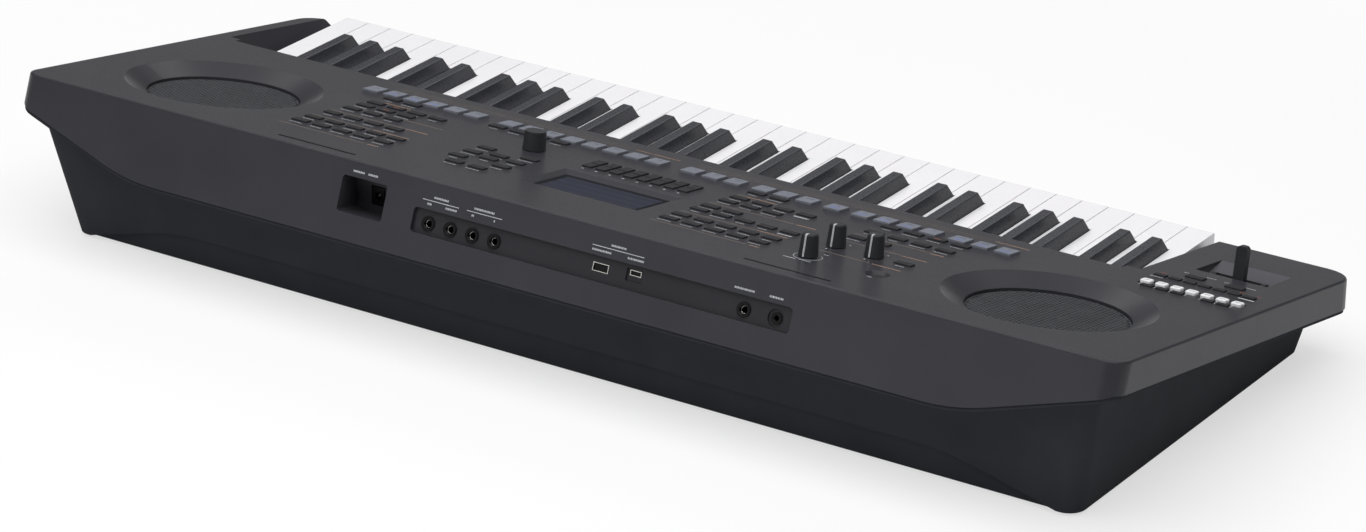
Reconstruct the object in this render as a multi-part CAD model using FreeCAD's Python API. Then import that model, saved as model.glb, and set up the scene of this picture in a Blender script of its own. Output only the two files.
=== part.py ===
import FreeCAD, Part
import math
import os

os.makedirs("parts", exist_ok=True)
V = FreeCAD.Vector

# All sizes are in millimetres. The player sits on the -Y side and +X is to the player's right.
# The origin is on the floor under the middle of the instrument.

# Case outline
case_width = 1003.0
block_front_y = -195.5
rear_edge_y = 186.9
rear_edge_z = 135.7
panel_slope = 10.25
rear_tilt = 21.3
wall = 3.0
skirt_height = 25.0
rear_corner_radius = 15.5
front_corner_radius = 25.0
top_edge_radius = 2.0
seat_gap = 0.3

# Parting line between the upper and the lower case, seen from behind
seam_middle_z = 77.2
seam_end_z = 112.5
seam_knee_from_end = 122.6
seam_knee_blend = 26.0

# Lower case
foot_height = 1.8
lower_inset = 37.5
lower_rear_y = 175.5
lower_front_y = -182.0
lower_side_draft = 0.185
lower_rear_draft = 0.168
lower_front_draft = 0.33
lower_corner_radius = 14.0
ledge_inset = 1.2
ledge_thickness = 3.0
rear_step_depth = 3.0
rear_step_z = 27.5
rear_step_slant = 96.0
rear_step_blend = 28.0
rear_step_foot_inset = 10.5

# Keys
white_count = 36
white_pitch = 23.5
key_gap = 0.7
keys_from_right_end = 26.25
key_front_y = -210.5
key_top_z = 65.5
white_thickness = 12.0
white_front_height = 18.0
white_front_thickness = 3.5
white_edge_radius = 1.5
black_front_y = -160.5
black_height = 11.0
black_width = 13.6
black_top_width = 9.4
black_front_slope = 7.0
black_edge_radius = 1.2
black_neck_y = -56.0
black_neck_height = 3.0
key_tail_y = -12.5
pivot_y = -20.5
pivot_drop = 6.0
pivot_radius = 2.0
pivot_clearance = 0.05
key_travel_angle = 3.0
key_side_gap = 0.75
black_offsets = {"c_sharp": -2.3, "d_sharp": 2.3, "f_sharp": -3.4, "g_sharp": 0.0, "a_sharp": 3.4}

# Key opening in the upper case
cheek_width = 11.5
cheek_drop = 10.0
lip_edge_y = -62.5
lip_edge_z = 85.5
lip_bevel = 8.0
lip_under_z = 82.0

# Speakers, one on each side
speaker_from_end = 119.0
speaker_y = 77.9
dish_radius = 81.0
dish_floor_radius = 62.4
dish_slope_depth = 9.0
dish_drop = 3.5
grille_thickness = 1.5
grille_clearance = 0.3
sound_hole_radius = 58.0
basket_radius = 65.0
basket_rim = 3.0
basket_depth = 34.0
magnet_radius = 35.0
magnet_depth = 16.0
magnet_collar = 6.0
cone_depth = 12.0
dust_cap_radius = 22.0
dust_cap_rise = -2.0
surround_inner = 8.0
surround_outer = 2.0

# Display
display_x = 2.5
display_from_rear = 93.6
display_width = 108.0
display_length = 62.0
display_bevel = 5.0
display_depth = 3.0
window_thickness = 1.5
window_rim = 2.0

# Push buttons: every row is placed by the distance of its rear edge from the panel's rear edge
button_pitch = 20.2
button_width = 14.6
button_length = 7.0
button_height = 1.2
button_clearance = 0.3
button_below = 4.0
button_ear = 1.0
button_ear_thickness = 1.2
button_travel = 1.2
button_edge_radius = 0.42
dome_room = 3.8
pad_length = 16.0
pad_height = 1.8
pad_from_rear = 196.6
pad_groups = (
    ("right_pads", 299.2, 6), ("right_pads", 164.2, 8),
    ("style_pads", -10.5, 3), ("style_pads", -76.8, 3), ("style_pads", -142.7, 1),
    ("left_pads", -167.6, 4), ("left_pads", -253.7, 3))
first_row = 186.9
voice_x = 271.0
voice_rows = (164.0, 149.6, 131.5, 105.4, 80.5, 63.2)
voice_counts = (4, 3, 3, 4, 5, 5)
style_x = -79.4
style_rows = (161.3, 145.0, 119.2, 104.0, 77.6, 60.7)
style_counts = (4, 3, 2, 5, 5, 5)
effect_x = -200.3
effect_pitch = 20.75
effect_rows = (162.2, 137.4)
effect_counts = (4, 2)
solo_button_x = -262.4
solo_button_from_rear = 100.8
cursor_x = 109.2
cursor_column = 20.6
cursor_rows = (118.9, 99.3, 79.7)
cursor_middle_rows = (106.6, 92.3)
cursor_low_row = 61.2
cursor_low_column = 10.8
dial_row_x = 166.6
dial_row_count = 4
screen_button_x = 48.9
screen_button_pitch = 12.74
screen_button_width = 8.6
screen_button_length = 11.6
screen_rows = (142.4, 155.5)
screen_count = 8

# Block of small buttons at the player's left
chord_from_end = 97.2
chord_count = 7
chord_pitch = 12.66
chord_size = 10.0
chord_height = 2.4
chord_edge_radius = 1.2
chord_from_rear = 217.8
dark_width = 9.6
dark_length = 5.0
dark_from_rear = 210.2
dark_shift = 5.6
dark_columns = (0, 1, 2, 4, 5)
memory_offset = 1.6
memory_pitch = 12.43
memory_length = 5.6
memory_from_rear = 246.6
memory_count = 7
wide_offset = -19.2
wide_pitch = 33.3
wide_width = 15.0
wide_from_rear = 263.0

# Rotary controls
knob_places = ((-205.1, 60.1), (-202.9, 104.1), (-236.9, 102.8))
knob_radius = 7.6
knob_top_radius = 6.4
knob_height = 17.5
knob_gap = 0.6
stem_radius = 3.0
stem_clearance = 0.05
pot_size = 11.0
pot_height = 6.5
dial_x = 105.9
dial_from_rear = 152.8
dial_radius = 9.4
dial_top_radius = 8.6
dial_height = 15.0
dial_facets = 24
power_x = -264.2
power_from_rear = 62.0
power_radius = 5.6
power_gap = 0.6
power_ear = 1.6
power_dish_radius = 10.0
power_dish_depth = 2.6
power_below = 2.0
power_height = 0.6
power_travel = 1.5

# Bend lever in its well
well_from_end = 60.5
well_width = 60.0
well_front_from_rear = 336.0
well_length = 45.0
well_wall = 2.0
well_depth = 14.0
well_back_room = 6.0
barrel_from_rear = 299.0
barrel_depth = 7.5
barrel_radius = 7.0
barrel_length = 46.0
barrel_gap = 0.4
trunnion_radius = 2.5
trunnion_clearance = 0.05
lever_offset = -3.5
lever_width = 9.2
lever_thickness = 6.0
lever_height = 32.5
lever_slot_length = 38.0
lever_slot_gap = 0.4
lever_pin_radius = 1.5

# Boards and posts
board_thickness = 1.6
post_radius = 4.0
post_clearance = 0.5
board_left_x = -300.0
board_right_x = 308.0
board_rear = 24.0
board_front = 222.0
board_posts = ((-290.0, 140.0), (-20.0, 30.0), (190.0, 30.0), (-180.0, 30.0), (-285.0, 40.0),
               (285.0, 40.0), (180.0, 170.0), (-20.0, 178.0))
main_board_z = 18.0
main_board_x = 20.0
main_board_width = 260.0
main_board_y = 80.0
main_board_length = 110.0

# Rear sockets: heights are measured down the rear face from the top edge
strip_left_x = 106.3
strip_right_x = -234.8
strip_top = 22.2
strip_bottom = 41.9
strip_depth = 3.0
strip_corner_radius = 3.2
socket_down = 33.0
output_x = 92.6
output_pitch = 20.4
output_count = 4
mic_x = -193.0
aux_x = -220.7
socket_ring_radius = 5.8
socket_ring_height = 1.2
socket_neck_step = 1.0
socket_bore = 3.2
socket_mouth = 0.6
socket_back = 1.5
socket_body = 14.0
socket_length = 22.0
socket_clearance = 0.3
socket_floor = 3.0
aux_dish_radius = 7.1
aux_dish_depth = 1.5
aux_ring_radius = 4.6
aux_bore = 1.78
aux_body = 9.0
host_x = -65.4
host_down = 30.9
host_width = 14.0
host_height = 6.6
port_shell = 0.5
device_x = -95.5
device_down = 28.5
device_width = 10.0
device_height = 4.2
device_recess_width = 14.4
device_recess_top = 25.2
device_recess_bottom = 35.2
device_recess_depth = 1.5
device_recess_radius = 1.0
port_length = 14.0
tongue_step = 1.5
host_tongue_width = 11.4
host_tongue_height = 2.0
host_tongue_low = 0.3
device_tongue_width = 6.0
device_tongue_height = 1.2
device_tongue_low = -0.6
dc_left_x = 176.5
dc_right_x = 134.0
dc_top = 12.7
dc_bottom = 41.3
dc_depth = 17.5
dc_floor_fall = 7.4
dc_roof_fall = 5.5
dc_corner_radius = 2.5
dc_inlet_x = 156.3
dc_inlet_drop = 19.8
dc_inlet_width = 12.2
dc_inlet_height = 15.0
dc_inlet_gap = 0.6
dc_inlet_proud = 0.5
dc_inlet_length = 12.0
dc_flange = 2.0
dc_bore = 3.1
dc_pin_radius = 1.1
rest_slot_x = 215.5
rest_slot_length = 75.0
rest_slot_width = 3.2
rest_slot_depth = 12.0
rest_slot_from_rear = 13.6

# Key chassis
frame_plate_z = 29.0
frame_plate_thickness = 2.0
frame_front_y = -184.0
frame_rear_y = -8.0
frame_back_gap = 2.0
contact_y = -95.0
contact_width = 36.0
rubber_width = 16.0
felt_y = -178.0
felt_width = 12.0
felt_gap = 0.6
frame_post_first = 70.75
frame_post_pitch = 200.0
frame_post_count = 4
frame_post_ys = (-150.0, -40.0)
screw_head_radius = 3.6
screw_head_height = 2.4
screw_radius = 1.5
screw_length = 12.0
screw_clearance = 0.05
screw_sink = 0.5
case_post_radius = 5.0
case_post_from_end = 61.5
case_post_end_y = 164.0
case_post_inner_x = 150.0
case_post_inner_y = 150.0
boss_height = 12.0
foot_radius = 10.0
foot_from_end = 71.5
foot_y = 150.0

# Places that follow from the sizes above
half_width = case_width / 2
seam_knee_x = half_width - seam_knee_from_end
lower_bottom_half = half_width - lower_inset
rear_step_foot_half = lower_bottom_half - rear_step_foot_inset
rear_step_half = rear_step_foot_half - rear_step_slant
keys_left_x = half_width - keys_from_right_end - white_count * white_pitch
speaker_x = half_width - speaker_from_end
dish_depth = dish_slope_depth + dish_drop
chord_x = chord_from_end - half_width
memory_x = chord_x + memory_offset
wide_x = chord_x + wide_offset
well_x = well_from_end - half_width
lever_x = well_x + lever_offset
board_depth = wall + button_below + button_travel + dome_room
frame_post_xs = [keys_left_x + frame_post_first + i * frame_post_pitch for i in range(frame_post_count)]
post_x = half_width - case_post_from_end
case_post_places = ((-post_x, case_post_end_y), (-case_post_inner_x, case_post_inner_y),
                    (case_post_inner_x, case_post_inner_y), (post_x, case_post_end_y))
foot_x = half_width - foot_from_end
foot_places = ((-foot_x, foot_y), (foot_x, foot_y), (-foot_x, -foot_y), (foot_x, -foot_y))
slope = math.radians(panel_slope)
tilt = math.radians(rear_tilt)
far = case_width
floor_z = foot_height + wall


def box(x0, x1, y0, y1, z0, z1):
    return Part.makeBox(x1 - x0, y1 - y0, z1 - z0, V(x0, y0, z0))


def rounded_box(x0, x1, y0, y1, z0, z1, radius):
    block = box(x0, x1, y0, y1, z0, z1)
    upright = [e for e in block.Edges if e.BoundBox.XLength < 0.01 and e.BoundBox.YLength < 0.01]
    return block.makeFillet(radius, upright)


def rod(x, y, z0, z1, radius):
    return Part.makeCylinder(radius, z1 - z0, V(x, y, z0), V(0, 0, 1))


def taper(x, y, z0, z1, radius0, radius1):
    return Part.makeCone(radius0, radius1, z1 - z0, V(x, y, z0), V(0, 0, 1))


def polygon(points):
    return Part.makePolygon(points + [points[0]])


def prism_x(points, x0, x1):
    face = Part.Face(polygon([V(x0, y, z) for y, z in points]))
    return face.extrude(V(x1 - x0, 0, 0))


def fused(shapes):
    first = shapes[0]
    if len(shapes) == 1:
        return first
    return first.fuse(shapes[1:]).removeSplitter()


def panel_z(y):
    return rear_edge_z - math.tan(slope) * (rear_edge_y - y)


def rear_y(z):
    return rear_edge_y + math.tan(tilt) * (rear_edge_z - z)


# The panel frame lies in the top surface: x along the instrument, y up the slope, z out of the panel.
panel_frame = FreeCAD.Placement(V(0, rear_edge_y, rear_edge_z), FreeCAD.Rotation(V(1, 0, 0), panel_slope))

# The rear frame lies in the rear face: x to the right as seen from behind, y up the face, z outwards.
rear_frame = FreeCAD.Placement(
    FreeCAD.Matrix(-1, 0, 0, 0,
                   0, -math.sin(tilt), math.cos(tilt), rear_edge_y,
                   0, math.cos(tilt), math.sin(tilt), rear_edge_z,
                   0, 0, 0, 1))


def placed(shape, frame):
    moved = shape.copy()
    moved.Placement = frame.multiply(moved.Placement)
    return moved


def on_panel(shape):
    return placed(shape, panel_frame)


def on_rear(shape):
    return placed(shape, rear_frame)


def save(shape, name):
    shape.exportStep("parts/" + name + ".step")
    print(name, len(shape.Solids), round(shape.Volume))


# Soft bend of a level line on the rear wall, which climbs by rise beyond its knee
def knee_bend(side, knee_x, knee_z, blend, rise, y):
    poles = [V(side * (knee_x + blend), y, knee_z + rise * blend), V(side * knee_x, y, knee_z),
             V(side * (knee_x - blend), y, knee_z)]
    curve = Part.BezierCurve()
    curve.setPoles(poles if side < 0 else poles[::-1])
    return curve.toShape()


# Parting region: everything above the seam belongs to the upper case
def seam_region():
    drop = math.tan(slope) * 2 * far
    low = panel_z(-far) - skirt_height
    high = low + drop + far
    sides = prism_x([(-far, low), (far, low + drop), (far, high), (-far, high)], -far, far)
    rise = (seam_end_z - seam_middle_z) / (half_width - seam_knee_x)
    outer_x = seam_knee_x + seam_knee_blend
    inner_x = seam_knee_x - seam_knee_blend
    outer_z = seam_middle_z + rise * seam_knee_blend
    far_z = seam_middle_z + rise * (far - seam_knee_x)
    start_y = lower_rear_y - 5 * wall

    def at(x, z):
        return V(x, start_y, z)

    edges = [
        Part.makeLine(at(-far, far_z), at(-outer_x, outer_z)),
        knee_bend(-1, seam_knee_x, seam_middle_z, seam_knee_blend, rise, start_y),
        Part.makeLine(at(-inner_x, seam_middle_z), at(inner_x, seam_middle_z)),
        knee_bend(1, seam_knee_x, seam_middle_z, seam_knee_blend, rise, start_y),
        Part.makeLine(at(outer_x, outer_z), at(far, far_z)),
        Part.makeLine(at(far, far_z), at(far, far_z + far)),
        Part.makeLine(at(far, far_z + far), at(-far, far_z + far)),
        Part.makeLine(at(-far, far_z + far), at(-far, far_z)),
    ]
    rear = Part.Face(Part.Wire(edges)).extrude(V(0, far, 0))
    return sides.fuse(rear).removeSplitter()


def case_block(inset, bottom_z):
    top = inset / math.cos(slope)
    back = inset / math.cos(tilt)
    front = block_front_y + inset
    # The inset rear and top planes meet a little in front of and below the outer edge.
    slant = math.tan(slope)
    lean = math.tan(tilt)
    shift = (back + lean * -top) / (1 + slant * lean)
    corner_y = rear_edge_y - shift
    corner_z = panel_z(corner_y) - top
    foot_y = rear_y(bottom_z) - back
    points = [(front, bottom_z), (foot_y, bottom_z), (corner_y, corner_z), (front, panel_z(front) - top)]
    side = half_width - inset
    block = prism_x(points, -side, side)

    def corner_edges(y):
        found = []
        for edge in block.Edges:
            middle = edge.CenterOfMass
            if abs(abs(middle.x) - side) < 0.01 and abs(middle.y - y) < 0.01 and middle.z < corner_z - 1:
                found.append(edge)
        return found

    block = block.makeFillet(front_corner_radius - inset, corner_edges(front))
    return block.makeFillet(rear_corner_radius - inset, corner_edges((foot_y + corner_y) / 2))


def key_opening(grow):
    left = keys_left_x - key_side_gap - grow
    right = keys_left_x + white_count * white_pitch + key_side_gap + grow
    low = key_top_z - cheek_drop - grow
    sections = []
    for y in (-far, lip_edge_y + grow):
        top = panel_z(y)
        sections.append(polygon([
            V(left, y, low), V(right, y, low),
            V(right + cheek_width, y, top), V(right + cheek_width, y, far),
            V(left - cheek_width, y, far), V(left - cheek_width, y, top)]))
    upper = Part.makeLoft(sections, True, True)
    lower = box(left, right, -far, lip_edge_y + grow, -far, low)
    return [upper, lower]


def button_body(x, row, width, length, height, edge):
    # A button is placed by its rear edge. Its ears under the panel keep it from coming out.
    low = -wall - button_below
    top_of_ear = -wall - seat_gap
    cap = box(x - width / 2, x + width / 2, -row - length, -row, low, height)
    ear = box(x - width / 2 - button_ear, x + width / 2 + button_ear, -row - length, -row,
              top_of_ear - button_ear_thickness, top_of_ear)
    top = [e for e in cap.Edges if e.BoundBox.ZMin > height - 0.01]
    cap = cap.makeFillet(edge, top)
    return cap.fuse(ear).removeSplitter()


def button_hole(x, row, width, length):
    c = button_clearance
    return box(x - width / 2 - c, x + width / 2 + c, -row - length - c, -row + c, -3 * wall, wall)


# Button list: node name -> (x, rear edge, width, length, height, edge radius)
buttons = {}


def row_of(node, first_x, count, pitch, row, width, length, height, edge=button_edge_radius):
    for i in range(count):
        buttons.setdefault(node, []).append((first_x - i * pitch, row, width, length, height, edge))


for node, first_x, count in pad_groups:
    row_of(node, first_x, count, button_pitch, pad_from_rear, button_width, pad_length, pad_height)

row_of("voice_buttons", voice_x, 2, button_pitch, first_row, button_width, button_length, button_height)
for row, count in zip(voice_rows, voice_counts):
    row_of("voice_buttons", voice_x, count, button_pitch, row, button_width, button_length, button_height)
row_of("style_buttons", style_x, 2, button_pitch, first_row, button_width, button_length, button_height)
for row, count in zip(style_rows, style_counts):
    row_of("style_buttons", style_x, count, button_pitch, row, button_width, button_length, button_height)
row_of("effect_buttons", effect_x, 4, effect_pitch, first_row, button_width, button_length, button_height)
for row, count in zip(effect_rows, effect_counts):
    row_of("effect_buttons", effect_x, count, effect_pitch, row, button_width, button_length, button_height)
row_of("effect_buttons", solo_button_x, 1, button_pitch, solo_button_from_rear,
       button_width, button_length, button_height)
row_of("cursor_buttons", dial_row_x, dial_row_count, button_pitch, first_row,
       button_width, button_length, button_height)
for row in cursor_rows:
    row_of("cursor_buttons", cursor_x + cursor_column, 2, 2 * cursor_column, row,
           button_width, button_length, button_height)
for row in cursor_middle_rows:
    row_of("cursor_buttons", cursor_x, 1, button_pitch, row, button_width, button_length, button_height)
row_of("cursor_buttons", cursor_x + cursor_low_column, 2, 2 * cursor_low_column, cursor_low_row,
       button_width, button_length, button_height)
for row in screen_rows:
    row_of("screen_buttons", screen_button_x, screen_count, screen_button_pitch, row,
           screen_button_width, screen_button_length, button_height)
row_of("chord_pads", chord_x, chord_count, chord_pitch, chord_from_rear, chord_size, chord_size,
       chord_height, chord_edge_radius)
for column in dark_columns:
    row_of("chord_buttons", chord_x - dark_shift - column * chord_pitch, 1, chord_pitch, dark_from_rear,
           dark_width, dark_length, button_height)
row_of("chord_buttons", memory_x, memory_count, memory_pitch, memory_from_rear,
       dark_width, memory_length, button_height)
row_of("chord_buttons", wide_x, 2, wide_pitch, wide_from_rear, wide_width, button_length, button_height)

region = seam_region()

# Upper case
outer = case_block(0, foot_height)
rim = []
for edge in outer.Edges:
    ends = [v.Point for v in edge.Vertexes]
    if len(ends) == 2 and all(abs(p.z - panel_z(p.y)) < 0.01 for p in ends):
        rim.append(edge)
outer = outer.makeFillet(top_edge_radius, rim)
inner = case_block(wall, -wall)
for piece in key_opening(wall):
    inner = inner.cut(piece)
dishes = []
dish_cuts = []
for side in (-1, 1):
    x = side * speaker_x
    y = -(rear_edge_y - speaker_y) / math.cos(slope)
    dish = taper(x, y, -dish_slope_depth - wall, -0.2, dish_floor_radius + wall, dish_radius + wall)
    collar = rod(x, y, -dish_depth - wall, -dish_slope_depth, dish_floor_radius + wall)
    dishes.append(on_panel(dish.fuse(collar)))
    dish_cuts.append(on_panel(taper(x, y, -dish_slope_depth, 0, dish_floor_radius, dish_radius)))
    dish_cuts.append(on_panel(rod(x, y, -dish_depth, 0, dish_floor_radius)))
    dish_cuts.append(on_panel(rod(x, y, -dish_depth - 2 * wall, 0, sound_hole_radius)))
shell = outer.cut(inner)
for piece in key_opening(0):
    shell = shell.cut(piece)

# The lip of the panel over the keys is bevelled and open below, where the keys pass under it.
keys_right_x = keys_left_x + white_count * white_pitch
bevel_y = lip_edge_y + lip_bevel
lip = prism_x([(bevel_y, panel_z(bevel_y)), (lip_edge_y, lip_edge_z), (lip_edge_y, far), (bevel_y, far)],
              keys_left_x - key_side_gap, keys_right_x + key_side_gap)
tunnel = box(keys_left_x - key_side_gap, keys_right_x + key_side_gap, -far, lip_edge_y + 2 * wall,
             -far, lip_under_z)
shell = shell.common(region)

# Display recess with a bevelled frame and a seat for the window
dx = display_x
dy = -display_from_rear
half_w = display_width / 2
half_l = display_length / 2


def plate_ring(width, length, z):
    return polygon([V(dx - width, dy - length, z), V(dx + width, dy - length, z),
                    V(dx + width, dy + length, z), V(dx - width, dy + length, z)])


seat_half_w = half_w - display_bevel
seat_half_l = half_l - display_bevel
bevel_rings = [plate_ring(half_w, half_l, 0), plate_ring(seat_half_w, seat_half_l, -display_depth)]
bevel_cut = Part.makeLoft(bevel_rings, True, True)
seat_z = -display_depth - window_thickness
display_block = box(dx - half_w, dx + half_w, dy - half_l, dy + half_l, seat_z - wall, -0.2)
window_cut = box(dx - seat_half_w, dx + seat_half_w, dy - seat_half_l, dy + seat_half_l, seat_z, 0)
lcd_half_w = seat_half_w - window_rim
lcd_half_l = seat_half_l - window_rim
lcd_cut = box(dx - lcd_half_w, dx + lcd_half_w, dy - lcd_half_l, dy + lcd_half_l, seat_z - 2 * wall, 0)

additions = list(dishes)
additions.append(on_panel(display_block))
cuts = list(dish_cuts)
cuts.extend([on_panel(bevel_cut), on_panel(window_cut), on_panel(lcd_cut)])

# Music rest slots near the rear edge
for side in (-1, 1):
    x = side * rest_slot_x
    slot_y = -rest_slot_from_rear
    half = rest_slot_length / 2
    w = rest_slot_width / 2
    additions.append(on_panel(box(x - half - wall, x + half + wall, slot_y - w - wall, slot_y + w + wall,
                                  -rest_slot_depth - wall, -0.2)))
    cuts.append(on_panel(box(x - half, x + half, slot_y - w, slot_y + w, -rest_slot_depth, wall)))

# Power button dish
power_y = -power_from_rear
additions.append(on_panel(rod(power_x, power_y, -power_dish_depth - wall, -0.2, power_dish_radius + wall)))
power_dish = taper(power_x, power_y, -power_dish_depth, 0, power_radius + power_ear, power_dish_radius)
cuts.append(on_panel(power_dish))
cuts.append(on_panel(rod(power_x, power_y, -power_dish_depth - 2 * wall, 0, power_radius + power_gap)))

# Rotary control holes
for x, down in knob_places:
    cuts.append(on_panel(rod(x, -down, -2 * wall, wall, stem_radius + button_clearance)))
cuts.append(on_panel(rod(dial_x, -dial_from_rear, -2 * wall, wall, stem_radius + button_clearance)))

# Well opening for the bend lever
well_y0 = -well_front_from_rear
well_y1 = well_y0 + well_length
wx0 = well_x - well_width / 2
wx1 = well_x + well_width / 2
cuts.append(on_panel(box(wx0, wx1, well_y0, well_y1, -2 * wall, wall)))

# Button holes
holes = []
for group in buttons.values():
    for x, row, width, length, height, edge in group:
        holes.append(on_panel(button_hole(x, row, width, length)))

# Rear socket strip, power recess and socket holes
def strip_shape(grow, z0, z1):
    return rounded_box(-strip_left_x - grow, -strip_right_x + grow, -strip_bottom - grow, -strip_top + grow,
                       z0, z1, strip_corner_radius + grow)


inside = -wall / 2
additions.append(on_rear(strip_shape(wall, -strip_depth - socket_floor, inside)))
cuts.append(on_rear(strip_shape(0, -strip_depth, wall)))

# The power recess runs in from the leaning rear face to an upright back wall. Its floor falls inwards.
dc_top_z = rear_edge_z - dc_top * math.cos(tilt)
dc_bottom_z = rear_edge_z - dc_bottom * math.cos(tilt)
dc_back_y = rear_y(dc_top_z) - dc_depth
dc_floor_z = dc_bottom_z - dc_floor_fall
dc_roof_z = dc_top_z - dc_roof_fall
skin = wall / 2 / math.cos(tilt)
low_z = dc_bottom_z - wall
high_z = dc_top_z + wall
housing_y = dc_back_y - wall
additions.append(prism_x([(housing_y, dc_floor_z - wall), (rear_y(low_z) - skin, low_z),
                          (rear_y(high_z) - skin, high_z), (housing_y, dc_roof_z + wall)],
                         dc_right_x - wall, dc_left_x + wall))


def beyond(y, z, back_z):
    # A point on the line from the back wall through (y, z), one wall thickness outside the rear face
    reach = 1 + wall / (y - dc_back_y)
    return dc_back_y + reach * (y - dc_back_y), back_z + reach * (z - back_z)


recess = prism_x([(dc_back_y, dc_floor_z), beyond(rear_y(dc_bottom_z), dc_bottom_z, dc_floor_z),
                  beyond(rear_y(dc_top_z), dc_top_z, dc_roof_z), (dc_back_y, dc_roof_z)],
                 dc_right_x, dc_left_x)
inward = [e for e in recess.Edges if e.BoundBox.YMin < dc_back_y + 0.01 and e.BoundBox.YLength > wall]
cuts.append(recess.makeFillet(dc_corner_radius, [e for e in inward if e.BoundBox.XLength < 0.01]))
inlet_z = dc_top_z - dc_inlet_drop


def inlet_block(grow, y0, y1):
    half_x = dc_inlet_width / 2 + grow
    half_z = dc_inlet_height / 2 + grow
    return box(dc_inlet_x - half_x, dc_inlet_x + half_x, y0, y1, inlet_z - half_z, inlet_z + half_z)


cuts.append(inlet_block(dc_inlet_gap, dc_back_y - 2 * wall, dc_back_y + wall))

socket_z0 = -strip_depth - 2 * socket_floor
big_sockets = [output_x - i * output_pitch for i in range(output_count)] + [mic_x]
neck_hole = socket_ring_radius - socket_neck_step + socket_clearance
for x in big_sockets:
    cuts.append(on_rear(rod(-x, -socket_down, socket_z0, 0, neck_hole)))
aux_floor = -strip_depth - aux_dish_depth
aux_hole = aux_ring_radius - socket_neck_step + socket_clearance
cuts.append(on_rear(rod(-aux_x, -socket_down, aux_floor, 0, aux_dish_radius)))
cuts.append(on_rear(rod(-aux_x, -socket_down, socket_z0, 0, aux_hole)))
device_floor = -strip_depth - device_recess_depth
device_recess = rounded_box(-device_x - device_recess_width / 2, -device_x + device_recess_width / 2,
                            -device_recess_bottom, -device_recess_top, device_floor, 0, device_recess_radius)
cuts.append(on_rear(device_recess))
for x, down, width, height in ((host_x, host_down, host_width, host_height),
                               (device_x, device_down, device_width, device_height)):
    cuts.append(on_rear(box(-x - width / 2 - socket_clearance, -x + width / 2 + socket_clearance,
                            -down - height / 2 - socket_clearance, -down + height / 2 + socket_clearance,
                            socket_z0, 0)))

# Posts that carry the panel board, and long posts for the case screws
for x, down in board_posts:
    additions.append(on_panel(rod(x, -down, -board_depth, -wall / 2, post_radius)))
post_top_z = floor_z + boss_height
for x, y in case_post_places:
    additions.append(rod(x, y, post_top_z, panel_z(y) - wall / 2, case_post_radius))
    cuts.append(rod(x, y, post_top_z, post_top_z + screw_length, screw_radius + screw_clearance))

upper_case = shell.fuse(additions)
upper_case = upper_case.cut([lip, tunnel] + cuts)
upper_case = upper_case.cut(holes)
save(upper_case, "upper_case")

# Lower case: a drafted tub with a ledge that closes the overhang of the upper case
def tub_ring(z, inset):
    rise = z - foot_height
    hx = lower_bottom_half + lower_side_draft * rise - inset
    y0 = lower_front_y - lower_front_draft * rise + inset
    y1 = lower_rear_y + lower_rear_draft * rise - inset
    r = lower_corner_radius - inset / 2
    pieces = []
    corners = ((hx - r, y0 + r), (hx - r, y1 - r), (-hx + r, y1 - r), (-hx + r, y0 + r))
    arcs = []
    for i, (cx, cy) in enumerate(corners):
        turns = [(i - 1 + k / 2) * math.pi / 2 for k in range(3)]
        arcs.append([V(cx + r * math.cos(a), cy + r * math.sin(a), z) for a in turns])
    for i, points in enumerate(arcs):
        pieces.append(Part.Arc(points[0], points[1], points[2]).toShape())
        pieces.append(Part.makeLine(points[2], arcs[(i + 1) % 4][0]))
    return Part.Wire(pieces)


tub_top = rear_edge_z
tub = Part.makeLoft([tub_ring(foot_height, 0), tub_ring(tub_top, 0)], True, True)
hollow = Part.makeLoft([tub_ring(floor_z, wall), tub_ring(tub_top + wall, wall)], True, True)
under_region = region.copy()
under_region.translate(V(0, 0, -ledge_thickness))
ledge = case_block(ledge_inset, foot_height).common(under_region)
key_swing = math.tan(math.radians(key_travel_angle))
key_bottom = key_top_z - white_thickness
rail_top = key_bottom - key_swing * (pivot_y - lower_front_y + 2 * lower_corner_radius) - felt_gap
side_in = keys_right_x + wall + key_side_gap
# Beside the highest key the wall steps outwards, under the overhang of the upper case.
side_rail = box(lower_bottom_half - wall, side_in + wall, block_front_y + front_corner_radius,
                frame_rear_y + wall, rail_top - wall, rear_edge_z)
lower_case = tub.fuse([ledge, side_rail]).cut(region)
lower_case = lower_case.cut(hollow)

# The front is open where the keys pass over it.
front_cut = box(keys_left_x - key_side_gap - wall, side_in, -far, frame_rear_y, rail_top, far)
lower_case = lower_case.cut(front_cut)

# Raised step along the bottom of the rear wall, between the two end feet
step_fall = -rear_step_z / rear_step_slant
step_left = knee_bend(-1, rear_step_half, rear_step_z, rear_step_blend, step_fall, 0)
step_right = knee_bend(1, rear_step_half, rear_step_z, rear_step_blend, step_fall, 0)
step_foot_left = V(-rear_step_foot_half, 0, 0)
step_foot_right = V(rear_step_foot_half, 0, 0)
step_edges = [
    Part.makeLine(step_foot_left, step_left.firstVertex().Point),
    step_left,
    Part.makeLine(step_left.lastVertex().Point, step_right.firstVertex().Point),
    step_right,
    Part.makeLine(step_right.lastVertex().Point, step_foot_right),
    Part.makeLine(step_foot_right, step_foot_left),
]
step_block = Part.Face(Part.Wire(step_edges)).extrude(V(0, far, 0))
step_core = Part.makeLoft([tub_ring(foot_height - wall, rear_step_depth),
                           tub_ring(tub_top, rear_step_depth)], True, True)
step_liner = Part.makeLoft([tub_ring(foot_height, rear_step_depth),
                            tub_ring(tub_top, rear_step_depth)], True, True)
liner_inner = Part.makeLoft([tub_ring(floor_z, rear_step_depth + wall),
                             tub_ring(tub_top, rear_step_depth + wall)], True, True)
liner = step_liner.cut(liner_inner).common(box(-rear_step_foot_half, rear_step_foot_half, 0, far,
                                               foot_height, rear_step_z + 2 * wall))
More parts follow.
